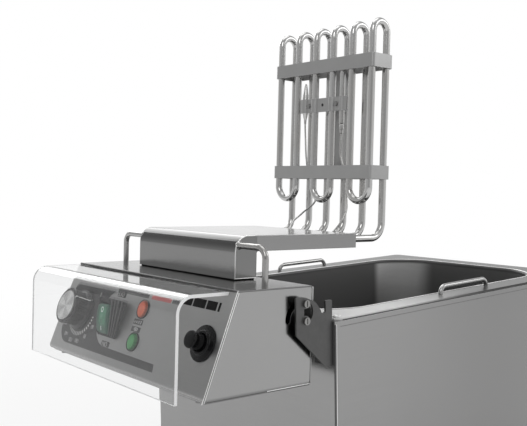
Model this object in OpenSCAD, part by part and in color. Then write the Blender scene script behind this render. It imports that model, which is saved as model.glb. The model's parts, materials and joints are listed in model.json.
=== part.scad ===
// Countertop deep fryer with one tank and a control head that tilts up on rear brackets.
// Origin: middle of the footprint at rest, on the bench. +X runs from the head to the tank,
// +Y away from the side with the visible bracket, +Z up. The head is drawn tilted up.

/* [Casing] */
// Length of the casing, head side to front
body_l = 444; // [420:1:500]
// Width of the casing
body_w = 304; // [300:1:320]
// Height of the casing without its feet
case_h = 214; // [210:1:240]
// Sheet thickness of the casing and the head
sheet = 1; // [0.8:0.1:1.5]
// Outer bend radius of the casing's upright edges
case_bend = 2.5; // [2:0.5:5]
// Width of the return flange under the tank's rim
return_w = 12; // [8:1:14]
// Height of a foot
foot_h = 18; // [12:1:30]
// Radius of a foot where it meets the bench
foot_r = 17; // [12:1:22]
// Distance of a foot's centre from the casing's edges
foot_in = 42; // [30:1:60]

/* [Tank] */
// Depth of the tank below its rim
tank_depth = 198; // [194:1:205]
// Sheet thickness of the tank
tank_t = 1.2; // [1:0.1:2]
// Distance from the casing's rear to the tank's wall
well_rear = 15; // [14:0.5:15]
// Distance from the casing's front to the tank's wall
well_front = 32; // [28:1:45]
// Distance from the casing's sides to the tank's wall
well_side = 32; // [28:1:34]
// Upright corner radius of the tank's wall
well_r = 60; // [30:1:70]
// Radius between the tank's wall and floor
well_floor_r = 16; // [8:1:24]
// Radius of the shoulder from the rim into the tank
shoulder_r = 3; // [2:0.5:4]
// Height of the rim above the casing
rim_h = 2; // [1.8:0.1:3]
// Gap from the casing's edge to the rim's edge
rim_in = 2.6; // [1.5:0.1:4]
// Diameter of the tank's handle wire
handle_d = 5; // [4:0.5:6]
// Span of a handle between the centres of its feet
handle_w = 84; // [70:1:120]
// Height of a handle's bar above the casing
handle_h = 10.8; // [10:0.1:16]
// Distance of the handles from the casing's rear
handle_x = 223; // [200:1:260]
// Distance of the handles from the casing's sides
handle_y = 19.5; // [15:0.5:24]

/* [Tilting head] */
// Tilt of the raised head past upright, in degrees
head_tilt = 3; // [0:0.5:5]
// Width of the head
head_w = 282; // [278:1:284]
// Depth of the head from its plate to its back
head_h = 91.6; // [86:0.2:100]
// Length of the flat plate that carries the elements
plate_l = 88.7; // [84:0.1:92]
// How much further out the control panel's lower edge lies
panel_out = 35; // [30:1:40]
// Bend radius of the head's sheet
head_bend = 4; // [3:0.5:5]
// Distance of the hinge from the casing's rear wall
hinge_back = 33.5; // [33:0.5:36]
// Height of the hinge above the casing
hinge_up = 5; // [4:0.5:8]
// Distance of the hinge from the head's base face
hinge_in = 14.6; // [14:0.1:16]
// Distance of the hinge from the element plate
hinge_drop = 30.8; // [30:0.1:31]
// Diameter of the hinge pins and the stop pins
pin_d = 5; // [4:0.5:6]
// Radial running clearance of the pins
pin_gap = 0.06; // [0.03:0.01:0.1]
// Distance between a hinge pin and its stop pin
stop_r = 15.6; // [15:0.1:17]
// Thickness of a hinge bracket
bracket_t = 2; // [1.5:0.5:2.5]
// Gap between a bracket and the head's side
bracket_gap = 4.5; // [3.5:0.5:6]

/* [Splash guard] */
// Thickness of the clear guard
guard_t = 3; // [2:0.5:4]
// How far the guard's upright leg stands from the head's base face
guard_x = 143.5; // [138:0.5:150]
// Depth of the guard's upper face below the element plate
guard_z = 1.6; // [1.2:0.1:3]
// Outer bend radius of the guard
guard_r = 16; // [8:1:18]
// Near end of the guard, from the head's side
guard_y = 10; // [2:1:14]
// Width of the guard
guard_w = 273.5; // [260:0.5:274]
// Width of a tab that holds the guard in the panel
tab_w = 30; // [20:1:40]
// How far a tab reaches through the panel
tab_in = 12; // [8:1:16]

/* [Element arm] */
// Distance of the arm's near side from the head's side
arm_y = 62; // [58:1:66]
// Width of the arm and its box
arm_w = 170; // [166:1:174]
// Depth of the arm
arm_t = 15; // [14:0.5:15]
// Height of the arm's outer face above the plate
arm_z = 42; // [42:0.5:43]
// Distance of the arm's end from the head's base face
arm_l = 121; // [112:1:126]
// Box's front face from the head's base face
box_x = 43; // [40:0.5:46]
// Box's rear face from the head's base face
box_back = 17; // [15:0.5:20]
// Radius of the bend from the box into the arm
box_r = 15; // [12:1:17]
// Height of the gasket below the box
gasket_h = 1.2; // [0.8:0.1:1.5]
// Diameter of the basket hanger's wire
hanger_d = 6; // [5:0.5:6]
// Distance of the hanger's legs from the box
hanger_out = 38; // [30:1:44]
// Height of the hanger's run above the plate
hanger_z = 33; // [32:0.5:34]

/* [Heating rods] */
// Diameter of a heating rod
rod_d = 8; // [7:0.5:8]
// Row of rods nearer to the head
row_x = 144.4; // [143:0.1:145]
// Row of the legs that run into the arm
leg_x = 167.2; // [166:0.1:168]
// Top of the loops above the element plate
loop_top = 278.5; // [270:0.5:290]
// Lowest point of the return bends above the element plate
loop_low = 73; // [70:0.5:76]
// Bend radius of the legs below
leg_bend = 17; // [14:1:20]
// Height of the legs' run into the arm
leg_z = 36.2; // [35.5:0.1:36.5]

/* [Element bands and sensors] */
// Height of a band
band_h = 15; // [12:1:18]
// Sheet thickness of a band
band_t = 1; // [0.8:0.1:1.2]
// Width of the strip that ties the bands
strap_w = 14; // [10:1:20]
// Lower edge of the lower band above the element plate
band_low = 101.3; // [98:0.5:106]
// Lower edge of the upper band above the element plate
band_high = 223.5; // [220:0.5:228]
// Lower edge of the sensor plate
sensor_z = 178.5; // [174:0.5:182]
// Height of the sensor plate
sensor_h = 16; // [14:0.5:18]
// Diameter of the spindle bulb
limiter_bulb_d = 8; // [6:0.5:8]
// Diameter of the straight bulb
thermo_bulb_d = 6; // [5:0.5:6]
// Diameter of the capillaries
capillary_d = 2; // [1.6:0.1:2.4]

/* [Controls] */
// Distance of the controls' middle line down the panel
control_s = 49.5; // [46:0.5:52]
// Position of the thermostat knob along the panel
knob_y = 237; // [232:1:242]
// Diameter of the knob's rim
knob_d = 38; // [34:0.5:42]
// Height of the knob
knob_h = 21; // [18:0.5:24]
// Diameter of the knob's spindle
spindle_d = 6; // [5:0.5:6.5]
// Position of the rocker switch along the panel
switch_y = 173.5; // [170:0.5:177]
// Size of the switch's flange down the panel
switch_l = 38.4; // [37:0.2:40]
// Size of the switch's flange along the panel
switch_w = 37; // [34:0.5:38]
// Rocking angle to each side, in degrees
rock = 10; // [5:1:11]
// Position of the two pilot lamps along the panel
lamp_y = 129.5; // [126:0.5:133]
// Distance between the pilot lamps
lamp_pitch = 32; // [30:1:34]
// Diameter of a lamp's lens
lamp_d = 14; // [12:0.5:15]
// Diameter of a lamp's surround
bezel_d = 18; // [16:0.5:20]
// Position of the reset button along the panel
reset_y = 23; // [20:0.5:27]
// Diameter of the reset button's base
reset_d = 31; // [28:0.5:33]
// Diameter of the reset button's cap
button_d = 16; // [14:0.5:18]
// Height of the reset button's cap
button_h = 20; // [18:0.5:22]
// Travel of the reset button
button_travel = 3; // [2:0.5:3]

/* [Hidden] */
$fn = 64;

steel = "#b9bbbd";
dark = "#5b5d60";
black = "#1c1c1e";

// The head's section: a right-angled corner by the tank and a sloping control panel
slope = atan(panel_out / head_h);
panel_len = sqrt(head_h * head_h + panel_out * panel_out);
head_gap = (body_w - head_w) / 2;
bracket_y = head_gap - bracket_gap - bracket_t;
// Footprint at rest: from the guard's lower edge to the casing's front
guard_edge = -hinge_back - (guard_x - hinge_in) * cos(head_tilt)
  - (head_h - hinge_drop) * sin(head_tilt);
mid_x = (guard_edge + body_l) / 2;
rim_z = case_h + foot_h;
// Heating rods: distance of each upright from the head's side, one pair for each rod
rod_pairs = [[216, 185], [155, 127], [97, 67.5]];
rod_r = rod_d / 2;
// Bands run round both rows of rods
band_x0 = row_x - rod_r - 0.3 - band_t;
band_x1 = leg_x + rod_r + 0.3 + band_t;
band_y0 = rod_pairs[2][1] - rod_r - 1 - band_t;
band_y1 = rod_pairs[0][0] + rod_r + 0.5 + band_t;
// The sensor plate is a strip with saddles over two rods and both bulbs, screwed to a strip behind
sensor_t = 1;
sensor_x = row_x - 2.2;
limiter_bulb_y = 171.6;
thermo_bulb_y = 111.5;
sensor_saddles = [[thermo_bulb_y, thermo_bulb_d / 2], [rod_pairs[1][1], rod_r], [rod_pairs[1][0], rod_r],
  [limiter_bulb_y, limiter_bulb_d / 2]];
sensor_screw_y = [118.8, 163.4];

// Points of a polygon whose corners are rounded: each corner is [x, y, radius]
function unit(v) = v / norm(v);
function corner(a, b, c) =
  let (p = [b.x, b.y], u = unit([a.x, a.y] - p), v = unit([c.x, c.y] - p),
       half = acos(u * v) / 2, r = b[2], reach = r / tan(half), centre = p + unit(u + v) * r / sin(half),
       p0 = p + u * reach, a0 = atan2(p0.y - centre.y, p0.x - centre.x),
       turn = (90 - half) * 2 * sign(v.x * u.y - v.y * u.x), steps = max(2, ceil(abs(turn) / 11)))
  r < 0.01 ? [p] : [for (i = [0:steps]) centre + r * [cos(a0 + turn * i / steps), sin(a0 + turn * i / steps)]];
function rounded(pts) = [for (i = [0:len(pts) - 1])
  each corner(pts[(i + len(pts) - 1) % len(pts)], pts[i], pts[(i + 1) % len(pts)])];

// Corners of the head's section, moved inwards by d
function head_outline(d, r) = [
  [-d, -d, r], [-plate_l - d * tan(slope) + d / cos(slope), -d, r],
  [-plate_l - (head_h - d) * tan(slope) + d / cos(slope), -head_h + d, r], [-d, -head_h + d, r]];

module body_frame() { translate([-mid_x, -body_w / 2, rim_z]) children(); }
module head_frame() {
  body_frame() translate([-hinge_back, head_gap, hinge_up]) rotate([0, head_tilt, 0])
    translate([hinge_in, 0, hinge_drop]) children();
}
// On the control panel: y along it, s down it, z out of it, x up the panel
module on_panel(y, s) {
  head_frame() translate([-plate_l, 0, 0]) rotate([0, slope - 90, 0]) translate([-s, y, 0]) children();
}
// A section in X and Z drawn along Y, from y0 over the length w
module along_y(y0, w) { translate([0, y0 + w, 0]) rotate([90, 0, 0]) linear_extrude(w) children(); }
// The near and the far piece mirror each other in the body's middle plane
module far_side() { translate([0, body_w, 0]) mirror([0, 1, 0]) children(); }
module rounded_block(size, r) {
  linear_extrude(size.z) union() {
    translate([r, 0]) square([size.x - 2 * r, size.y]);
    translate([0, r]) square([size.x, size.y - 2 * r]);
    for (x = [r, size.x - r], y = [r, size.y - r]) translate([x, y]) circle(r);
  }
}
module bar(p, dir, len, d) {
  translate(p) rotate(dir == "x" ? [0, 90, 0] : dir == "y" ? [-90, 0, 0] : [0, 0, 0])
    cylinder(h = len, d = d);
}

// ---- Casing and tank
module casing() {
  color(steel) body_frame() translate([0, 0, -case_h]) difference() {
    rounded_block([body_l, body_w, case_h], case_bend);
    translate([sheet, sheet, -1])
      rounded_block([body_l - 2 * sheet, body_w - 2 * sheet, case_h + 1 - sheet], case_bend - sheet);
    translate([return_w, return_w + 6, 1])
      rounded_block([body_l - 2 * return_w - 4, body_w - 2 * return_w - 12, case_h], 30);
    // Screw holes of the two brackets
    for (y = [bracket_y + 12, body_w - bracket_y - 12], z = [-20, -36])
      bar([-1, y, case_h + z], "x", 4, 4.2);
  }
}
module base_plate() {
  inset = sheet + 0.1;
  color(dark) body_frame() translate([inset, inset, -case_h]) difference() {
    rounded_block([body_l - 2 * inset, body_w - 2 * inset, 14], 1.4);
    translate([sheet, sheet, sheet])
      rounded_block([body_l - 2 * inset - 2 * sheet, body_w - 2 * inset - 2 * sheet, 14], 0.4);
    for (x = [foot_in, body_l - foot_in], y = [foot_in, body_w - foot_in])
      translate([x - inset, y - inset, -1]) cylinder(h = 4, d = 6.4);
    // Air slots under the tank
    for (i = [0:5]) translate([130 + i * 32, body_w / 2 - 60, -1]) cube([8, 117, 4]);
  }
}
// Foot with a moulded rim, a screw through it and the nut inside the casing
module foot(x, y) {
  color(black) body_frame() translate([x, y, -rim_z]) rotate_extrude() union() {
    polygon(rounded([[3.2, 4, 0], [8, 4, 0], [8, 0, 0], [foot_r, 0, 1.5], [foot_r - 3, foot_h, 1], [3.2, foot_h, 0]]));
    polygon([[0, 5], [2.9, 5], [3.2, 5.2], [3.2, foot_h + 10], [0, foot_h + 10]]);
    polygon([[3, foot_h + sheet], [6, foot_h + sheet], [6, foot_h + sheet + 5], [3, foot_h + sheet + 5]]);
  }
}
module foot_rear_near() { foot(foot_in, foot_in); }
module foot_rear_far() { foot(foot_in, body_w - foot_in); }
module foot_front_near() { foot(body_l - foot_in, foot_in); }
module foot_front_far() { foot(body_l - foot_in, body_w - foot_in); }

// The tank's wall from floor radius to shoulder, as a section from a corner's centre
function arc(c, r, a0, a1, n) = [for (i = [0:n]) c + r * [cos(a0 + (a1 - a0) * i / n), sin(a0 + (a1 - a0) * i / n)]];
module well_section() {
  low = [well_r - well_floor_r, -tank_depth + rim_h + well_floor_r];
  high = [well_r + shoulder_r, rim_h - shoulder_r];
  polygon(concat(arc(low, well_floor_r, -90, 0, 8), arc(high, shoulder_r, 180, 90, 6),
                 arc(high, shoulder_r - tank_t, 90, 180, 6), arc(low, well_floor_r + tank_t, 0, -90, 8)));
}
module tank() {
  l = body_l - well_rear - well_front;
  w = body_w - 2 * well_side;
  flat = well_r - well_floor_r;
  color(steel) body_frame() translate([well_rear, well_side, 0]) union() {
    // Upright corners
    for (c = [[well_r, well_r, 180], [l - well_r, well_r, 270], [l - well_r, w - well_r, 0], [well_r, w - well_r, 90]])
      translate([c.x, c.y, 0]) rotate([0, 0, c.z]) rotate_extrude(angle = 90) well_section();
    // Straight walls
    for (s = [[well_r, well_r, l - 2 * well_r, 0, -90], [well_r, w - well_r, l - 2 * well_r, 0, 90],
              [well_r, well_r, w - 2 * well_r, 1, 180], [l - well_r, well_r, w - 2 * well_r, 1, 0]])
      translate([s.x, s.y, 0]) wall_run(s[2], s[3], s[4]);
    // Floor and rim
    translate([well_r, well_floor_r, -tank_depth + rim_h - tank_t]) cube([l - 2 * well_r, w - 2 * well_floor_r, tank_t]);
    translate([well_floor_r, well_r, -tank_depth + rim_h - tank_t]) cube([l - 2 * well_floor_r, w - 2 * well_r, tank_t]);
    for (x = [well_r, l - well_r], y = [well_r, w - well_r])
      translate([x, y, -tank_depth + rim_h - tank_t]) cylinder(h = tank_t, r = flat);
    difference() {
      translate([rim_in - well_rear, rim_in - well_side, 0])
        rounded_block([body_l - 2 * rim_in, body_w - 2 * rim_in, rim_h], 8);
      translate([-shoulder_r, -shoulder_r, -3])
        rounded_block([l + 2 * shoulder_r, w + 2 * shoulder_r, 10], well_r + shoulder_r);
      // The rim is a sheet with its edge folded down
      translate([rim_in - well_rear + tank_t, rim_in - well_side + tank_t, -3])
        rounded_block([body_l - 2 * rim_in - 2 * tank_t, body_w - 2 * rim_in - 2 * tank_t, rim_h + 3 - tank_t], 6.5);
    }
  }
}
// One straight wall: the section stands out towards the heading, along x (0) or y (1)
module wall_run(len, along, heading) {
  if (along == 1) rotate([90, 0, 0]) mirror([0, 0, 1]) linear_extrude(len)
    mirror([heading == 180 ? 1 : 0, 0]) well_section();
  else rotate([90, 0, 90]) linear_extrude(len) mirror([heading == -90 ? 1 : 0, 0]) well_section();
}
// Bent wire handle: two feet on the rim and a bar between them
module wire_handle() {
  r = 8;
  translate([handle_x - handle_w / 2, handle_y, rim_h]) union() {
    for (s = [0, 1]) translate([s * handle_w, 0, 0]) mirror([s, 0, 0]) {
      bar([0, 0, 0], "z", handle_h - rim_h - r, handle_d);
      translate([r, 0, handle_h - rim_h - r]) rotate([90, 0, 0]) rotate([0, 0, 90])
        rotate_extrude(angle = 90) translate([r, 0]) circle(d = handle_d);
    }
    bar([r, 0, handle_h - rim_h], "x", handle_w - 2 * r, handle_d);
  }
}
module tank_handle_near() { color(steel) body_frame() wire_handle(); }
module tank_handle_far() { color(steel) body_frame() far_side() wire_handle(); }

// ---- Hinge brackets on the casing's rear wall
module bracket_outline() {
  difference() {
    polygon(rounded([[-45, 27, 1], [-35.5, 27, 20], [-21, 21, 16], [-14.3, 12, 0], [-14.3, 10, 0], [-8.5, 10, 0],
      [-8.5, 20.3, 1], [-0.2, 20.3, 1], [-0.2, -42, 1], [-8, -42, 1], [-45, -7, 2]]));
    translate([-hinge_back, hinge_up]) circle(d = pin_d);
    translate([-hinge_back, hinge_up + stop_r]) circle(d = pin_d);
    // Notch beside the finger, with a round floor
    translate([-11.4, 12]) circle(r = 2.9);
    translate([-14.3, 12]) square([5.8, 12]);
    // Window between the two pins
    difference() {
      intersection() {
        translate([-35.4, hinge_up + stop_r / 2]) circle(r = 11);
        translate([-35.4, -20]) square([20, 60]);
      }
      for (z = [0, stop_r]) translate([-hinge_back, hinge_up + z]) circle(r = pin_d / 2 + 2.2);
    }
  }
}
module hinge_bracket() {
  difference() {
    union() {
      along_y(bracket_y, bracket_t) bracket_outline();
      translate([-0.2 - bracket_t, bracket_y + bracket_t - 0.1, -42]) cube([bracket_t, 20, 30]);
    }
    for (z = [-20, -36]) bar([-4, bracket_y + 12, z], "x", 5, 4.2);
  }
  // Rivets that hold the flange on the wall
  for (z = [-20, -36]) {
    bar([-0.2 - bracket_t - 1.4, bracket_y + 12, z], "x", 1.4, 7.6);
    bar([-0.2 - bracket_t - 1.4, bracket_y + 12, z], "x", bracket_t + 3.2, 4);
  }
}
module hinge_bracket_near() { color(dark) body_frame() hinge_bracket(); }
module hinge_bracket_far() { color(dark) body_frame() far_side() hinge_bracket(); }
// Screw pin: head outside, shank through the bracket, collar up to the head's side
module screw_pin(z, reach) {
  collar = bracket_gap - 0.4;
  translate([-hinge_back, bracket_y - 2.4, hinge_up + z]) {
    difference() {
      union() {
        bar([0, 0, 0], "y", 2.4, pin_d + 2);
        bar([0, 0, 0], "y", 2.4 + bracket_t + reach, pin_d - 0.02);
        translate([0, 2.4 + bracket_t, 0]) bar([0, 0, 0], "y", collar, pin_d + 4);
      }
      translate([-0.5, -1, -2.6]) cube([1, 2, 5.2]);
    }
  }
}
module hinge_pin_near() { color(steel) body_frame() screw_pin(0, 13); }
module hinge_pin_far() { color(steel) body_frame() far_side() screw_pin(0, 13); }
module stop_pin_near() { color(steel) body_frame() screw_pin(stop_r, 8); }
module stop_pin_far() { color(steel) body_frame() far_side() screw_pin(stop_r, 8); }

// ---- Tilting head
module head_shell() {
  color(steel) difference() {
    head_frame() along_y(0, head_w) difference() {
      polygon(rounded(head_outline(0, head_bend)));
      polygon(rounded(head_outline(sheet, head_bend - sheet)));
      // The back stays open between two lips
      translate([-plate_l - panel_out + 16, -head_h - 1]) square([plate_l + panel_out - 30, 8]);
    }
    // Holes of the controls
    on_panel(knob_y, control_s) translate([0, 0, -5]) cylinder(h = 10, d = 10.2);
    on_panel(reset_y, control_s) translate([0, 0, -5]) cylinder(h = 10, d = 10.2);
    on_panel(switch_y, control_s) translate([-17.3, -13, -5]) cube([34.6, 26, 10]);
    for (s = [-0.5, 0.5]) on_panel(lamp_y, control_s + s * lamp_pitch) translate([0, 0, -5])
      cylinder(h = 10, d = 12.2);
    // Slots of the guard's tabs
    head_frame() for (y = tab_y) translate([-plate_l - 6, y - 0.1, -guard_z - guard_t - 0.1])
      cube([tab_in + 6, tab_w + 0.2, guard_t + 0.2]);
    // Way for the leads under the element box
    head_frame() translate([-box_x + 5, arm_y + 20, -3]) cube([box_x - box_back - 10, arm_w - 40, 6]);
  }
}
// Side plate set into the shell, with the pin's bush and the quarter slot of the stop pin
function slot_outline(c, r, h, a0, a1) = concat(arc(c, r + h, a0, a1, 16), arc(c + r * [cos(a1), sin(a1)], h, a1, a1 + 180, 8),
  arc(c, r - h, a1, a0, 16), arc(c + r * [cos(a0), sin(a0)], h, a0 - 180, a0, 8));
module head_side() {
  bush = 5;
  pin = [-hinge_in, -hinge_drop];
  difference() {
    union() {
      along_y(0.5, sheet) difference() {
        polygon(rounded(head_outline(sheet + 0.05, head_bend - sheet)));
        polygon(slot_outline(pin, stop_r, pin_d / 2 + 0.4, 90 + head_tilt, 180));
      }
      translate([pin.x, 0.5 + sheet, pin.y]) bar([0, 0, 0], "y", bush, pin_d + 8);
    }
    translate([pin.x, -1, pin.y]) bar([0, 0, 0], "y", bush + 6, pin_d + 2 * pin_gap);
  }
}
module head_side_near() { color(steel) head_frame() head_side(); }
module head_side_far() {
  color(steel) head_frame() translate([0, head_w, 0]) mirror([0, 1, 0]) head_side();
}
module head_back() {
  x0 = -plate_l - panel_out + 6;
  color(steel) head_frame() difference() {
    union() {
      translate([x0, 3, -head_h - sheet]) cube([-x0 - 5, head_w - 6, sheet]);
      for (x = [x0 + 5, -10], y = [18, head_w - 18]) translate([x, y, -head_h - sheet - 2])
        cylinder(h = 2.2, d = 7);
    }
    translate([-52, 235, -head_h - 3]) cylinder(h = 6, d = 16.2);
  }
}
module cable_gland() {
  color(black) head_frame() translate([-52, 235, -head_h]) difference() {
    union() {
      translate([0, 0, -14]) cylinder(h = 24, d = 16);
      translate([0, 0, -sheet - 6]) cylinder(h = 5.9, d = 24, $fn = 6);
      translate([0, 0, 0.1]) cylinder(h = 5, d = 23, $fn = 6);
      translate([0, 0, -20]) rotate_extrude() polygon(rounded([[4.6, 0, 0], [9.5, 0, 4], [9.5, 12.5, 0.5], [4.6, 12.5, 0]]));
    }
    translate([0, 0, -21]) cylinder(h = 34, d = 9.4);
  }
}
// Clear guard: an upper leg with tabs through the panel, and an upright leg before the controls
function panel_at(z) = -plate_l + z * tan(slope);
tab_y = [guard_y + 22, guard_y + (guard_w - tab_w) / 2, guard_y + guard_w - tab_w - 22];
module splash_guard() {
  x = -guard_x;
  z = -guard_z;
  t = guard_t;
  color([0.85, 0.88, 0.9, 0.4]) head_frame() union() {
    along_y(guard_y, guard_w) polygon(rounded([[x, -head_h, 0], [x, z, guard_r],
      [panel_at(z) - 0.1, z, 0], [panel_at(z - t) - 0.1, z - t, 0], [x + t, z - t, guard_r - t], [x + t, -head_h, 0]]));
    for (y = tab_y) translate([panel_at(z) - 2, y, z - t]) cube([tab_in + 2, tab_w, t]);
  }
}

// ---- Element box and arm: one folded duct, welded where the box turns into the arm
module duct_section(d) {
  polygon(rounded([[-box_x + d, gasket_h, 0], [-box_x + d, arm_z - d, box_r - d], [arm_l, arm_z - d, 0],
    [arm_l, arm_z - arm_t + d, 0], [-box_back - d, arm_z - arm_t + d, 2 + d], [-box_back - d, gasket_h, 0]]));
}
module duct() {
  difference() {
    along_y(arm_y, arm_w) duct_section(0);
    along_y(arm_y + sheet, arm_w - 2 * sheet) duct_section(sheet);
    translate([-box_x + sheet, arm_y + sheet, 0]) cube([box_x - box_back - 2 * sheet, arm_w - 2 * sheet, 10]);
  }
}
module element_box() {
  color(steel) head_frame() intersection() {
    duct();
    translate([-box_x - 1, arm_y - 1, -1]) cube([box_x - box_back + 1, arm_w + 2, arm_z + 2]);
  }
}
module element_arm() {
  color(steel) head_frame() intersection() {
    duct();
    translate([-box_back, arm_y - 1, -1]) cube([arm_l + box_back, arm_w + 2, arm_z + 2]);
  }
}
module box_gasket() {
  color(black) head_frame() translate([-box_x + 1.5, arm_y + 1.5, 0]) difference() {
    cube([box_x - box_back - 3, arm_w - 3, gasket_h]);
    translate([3, 3, -1]) cube([box_x - box_back - 9, arm_w - 9, 4]);
  }
}
module arm_end_plate() {
  h = arm_t - 2 * sheet - 0.1;
  color(steel) head_frame() difference() {
    translate([arm_l - 2.5, arm_y + sheet + 0.05, arm_z - arm_t + sheet + 0.05]) cube([2, arm_w - 2 * sheet - 0.1, h]);
    for (p = rod_pairs, y = p) bar([arm_l - 4, y, leg_z], "x", 6, rod_d + 0.2);
    for (y = [174, 110]) bar([arm_l - 4, y, leg_z], "x", 6, capillary_d + 0.6);
  }
}
// Hanger: from a cheek of the box outwards, round a bend and down onto the plate
module hanger_wire() {
  r = 10;
  union() {
    bar([0, -hanger_out + r, hanger_z], "y", hanger_out - r, hanger_d);
    translate([0, -hanger_out + r, hanger_z - r]) rotate([90, 0, 90]) rotate([0, 0, 90])
      rotate_extrude(angle = 90) translate([r, 0]) circle(d = hanger_d);
    bar([0, -hanger_out, 0], "z", hanger_z - r, hanger_d);
  }
}
module hanger_near() { color(steel) head_frame() translate([-box_x + 5, arm_y, 0]) hanger_wire(); }
module hanger_far() {
  color(steel) head_frame() translate([-box_x + 5, arm_y + arm_w, 0]) mirror([0, 1, 0]) hanger_wire();
}

// ---- Heating rods: each runs out of the arm, up, over, down, round and back the same way
module rod_side(y) {
  loop_r = (leg_x - row_x) / 2;
  top = loop_top - rod_r - loop_r;
  bar([arm_l - 8, y, leg_z], "x", leg_x - leg_bend - arm_l + 8, rod_d);
  translate([leg_x - leg_bend, y, leg_z + leg_bend]) rotate([90, 0, 0]) rotate([0, 0, -90])
    rotate_extrude(angle = 90) translate([leg_bend, 0]) circle(d = rod_d);
  bar([leg_x, y, leg_z + leg_bend], "z", top - leg_z - leg_bend, rod_d);
  translate([row_x + loop_r, y, top]) rotate([90, 0, 0]) rotate_extrude(angle = 180)
    translate([loop_r, 0]) circle(d = rod_d);
}
module heating_rod(pair) {
  turn_r = (pair[0] - pair[1]) / 2;
  low = loop_low + rod_r + turn_r;
  top = loop_top - rod_r - (leg_x - row_x) / 2;
  color("#77706a") head_frame() union() {
    for (y = pair) { rod_side(y); bar([row_x, y, low], "z", top - low, rod_d); }
    translate([row_x, (pair[0] + pair[1]) / 2, low]) rotate([90, 0, 90]) rotate([0, 0, 180])
      rotate_extrude(angle = 180) translate([turn_r, 0]) circle(d = rod_d);
  }
}
module heating_rod_far() { heating_rod(rod_pairs[0]); }
module heating_rod_middle() { heating_rod(rod_pairs[1]); }
module heating_rod_near() { heating_rod(rod_pairs[2]); }

// Closed band of sheet round both rows
module band(z) {
  color(steel) head_frame() translate([band_x0, band_y0, z]) difference() {
    rounded_block([band_x1 - band_x0, band_y1 - band_y0, band_h], 4);
    translate([band_t, band_t, -1])
      rounded_block([band_x1 - band_x0 - 2 * band_t, band_y1 - band_y0 - 2 * band_t, band_h + 2], 3);
  }
}
module upper_band() { band(band_high); }
module lower_band() { band(band_low); }
// Flat strip that ties the two bands, inside their face beyond the legs
module band_strap() {
  color(steel) head_frame() translate([band_x1 - band_t - 1.3, (band_y0 + band_y1 - strap_w) / 2, band_low + 1])
    cube([1.2, strap_w, band_high + band_h - band_low - 2]);
}
module sensor_plate() {
  y0 = thermo_bulb_y - thermo_bulb_d / 2 - 6;
  y1 = limiter_bulb_y + limiter_bulb_d / 2 + 3.5;
  color(steel) head_frame() difference() {
    translate([0, 0, sensor_z]) linear_extrude(sensor_h) difference() {
      union() {
        translate([sensor_x, y0]) square([sensor_t, y1 - y0]);
        for (d = sensor_saddles) translate([row_x, d[0]]) circle(r = d[1] + 0.15 + sensor_t);
      }
      for (d = sensor_saddles) translate([row_x, d[0]]) circle(r = d[1] + 0.15);
      translate([sensor_x + sensor_t, y0 - 1]) square([20, y1 - y0 + 2]);
    }
    for (y = sensor_screw_y) bar([sensor_x - 3, y, sensor_z + sensor_h / 2], "x", 5, 3.2);
    bar([sensor_x - 3, (rod_pairs[1][0] + rod_pairs[1][1]) / 2, sensor_z + sensor_h / 2], "x", 5, 3.6);
  }
}
module sensor_clamp() {
  x = row_x + rod_r + 0.15;
  color(steel) head_frame() difference() {
    translate([x, thermo_bulb_y - 4, sensor_z + 2]) cube([1.2, limiter_bulb_y - thermo_bulb_y + 8, sensor_h - 4]);
    for (y = sensor_screw_y) bar([x - 2, y, sensor_z + sensor_h / 2], "x", 6, 3.2);
  }
}
module sensor_screws() {
  color(steel) head_frame() for (y = sensor_screw_y) translate([sensor_x, y, sensor_z + sensor_h / 2]) {
    bar([-1.8, 0, 0], "x", 1.8, 5.6);
    bar([-1.8, 0, 0], "x", rod_r + 8.6, 3);
    bar([rod_r + 3.55, 0, 0], "x", 2, 5.4);
  }
}
// Spindle-shaped bulb with drawn-out ends
module limiter_bulb() {
  len = 48;
  r = limiter_bulb_d / 2;
  color(steel) head_frame() translate([row_x, limiter_bulb_y, 165.5]) rotate_extrude()
    polygon([[0, 0], [1.3, 0], [1.6, 5], [r * 0.9, 14], [r, 18], [r, len - 20], [r * 0.86, len - 13],
      [1.5, len - 2], [0.8, len], [0, len]]);
}
module thermostat_bulb() {
  r = thermo_bulb_d / 2;
  color(steel) head_frame() translate([row_x, thermo_bulb_y, 152.9]) rotate_extrude()
    polygon([[0, 0], [2, 0], [2, 4], [2.6, 4.5], [2.6, 8.5], [r - 1, 10], [r, 11.5], [r, 82], [r - 1, 84], [0, 84]]);
}
// A capillary is a thin tube swept along hand-set points, eased between them
function blend(p, t) = let (n = len(p) - 1, i = min(floor(t), n - 1), u = t - i,
    a = p[max(i - 1, 0)], b = p[i], c = p[i + 1], d = p[min(i + 2, n)])
  b + 0.5 * u * ((c - a) + u * ((2 * a - 5 * b + 4 * c - d) + u * (3 * (b - c) + d - a)));
module capillary(pts) {
  sides = 8;
  rings = 5 * (len(pts) - 1);
  centre = [for (i = [0:rings]) blend(pts, i * (len(pts) - 1) / rings)];
  way = [for (i = [0:rings]) unit(centre[min(i + 1, rings)] - centre[max(i - 1, 0)])];
  side = [for (w = way) unit(cross(w, [1, 0, 0.01]))];
  points = [for (i = [0:rings], k = [0:sides - 1])
    centre[i] + capillary_d / 2 * (side[i] * cos(k * 360 / sides) + cross(way[i], side[i]) * sin(k * 360 / sides))];
  skin = [for (i = [0:rings - 1], k = [0:sides - 1])
    let (n = (k + 1) % sides) [i * sides + k, i * sides + n, (i + 1) * sides + n, (i + 1) * sides + k]];
  color("#a08a6a") head_frame() polyhedron(points, concat([[for (k = [0:sides - 1]) sides - 1 - k]], skin,
    [[for (k = [0:sides - 1]) rings * sides + k]]), convexity = 6);
}
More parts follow.
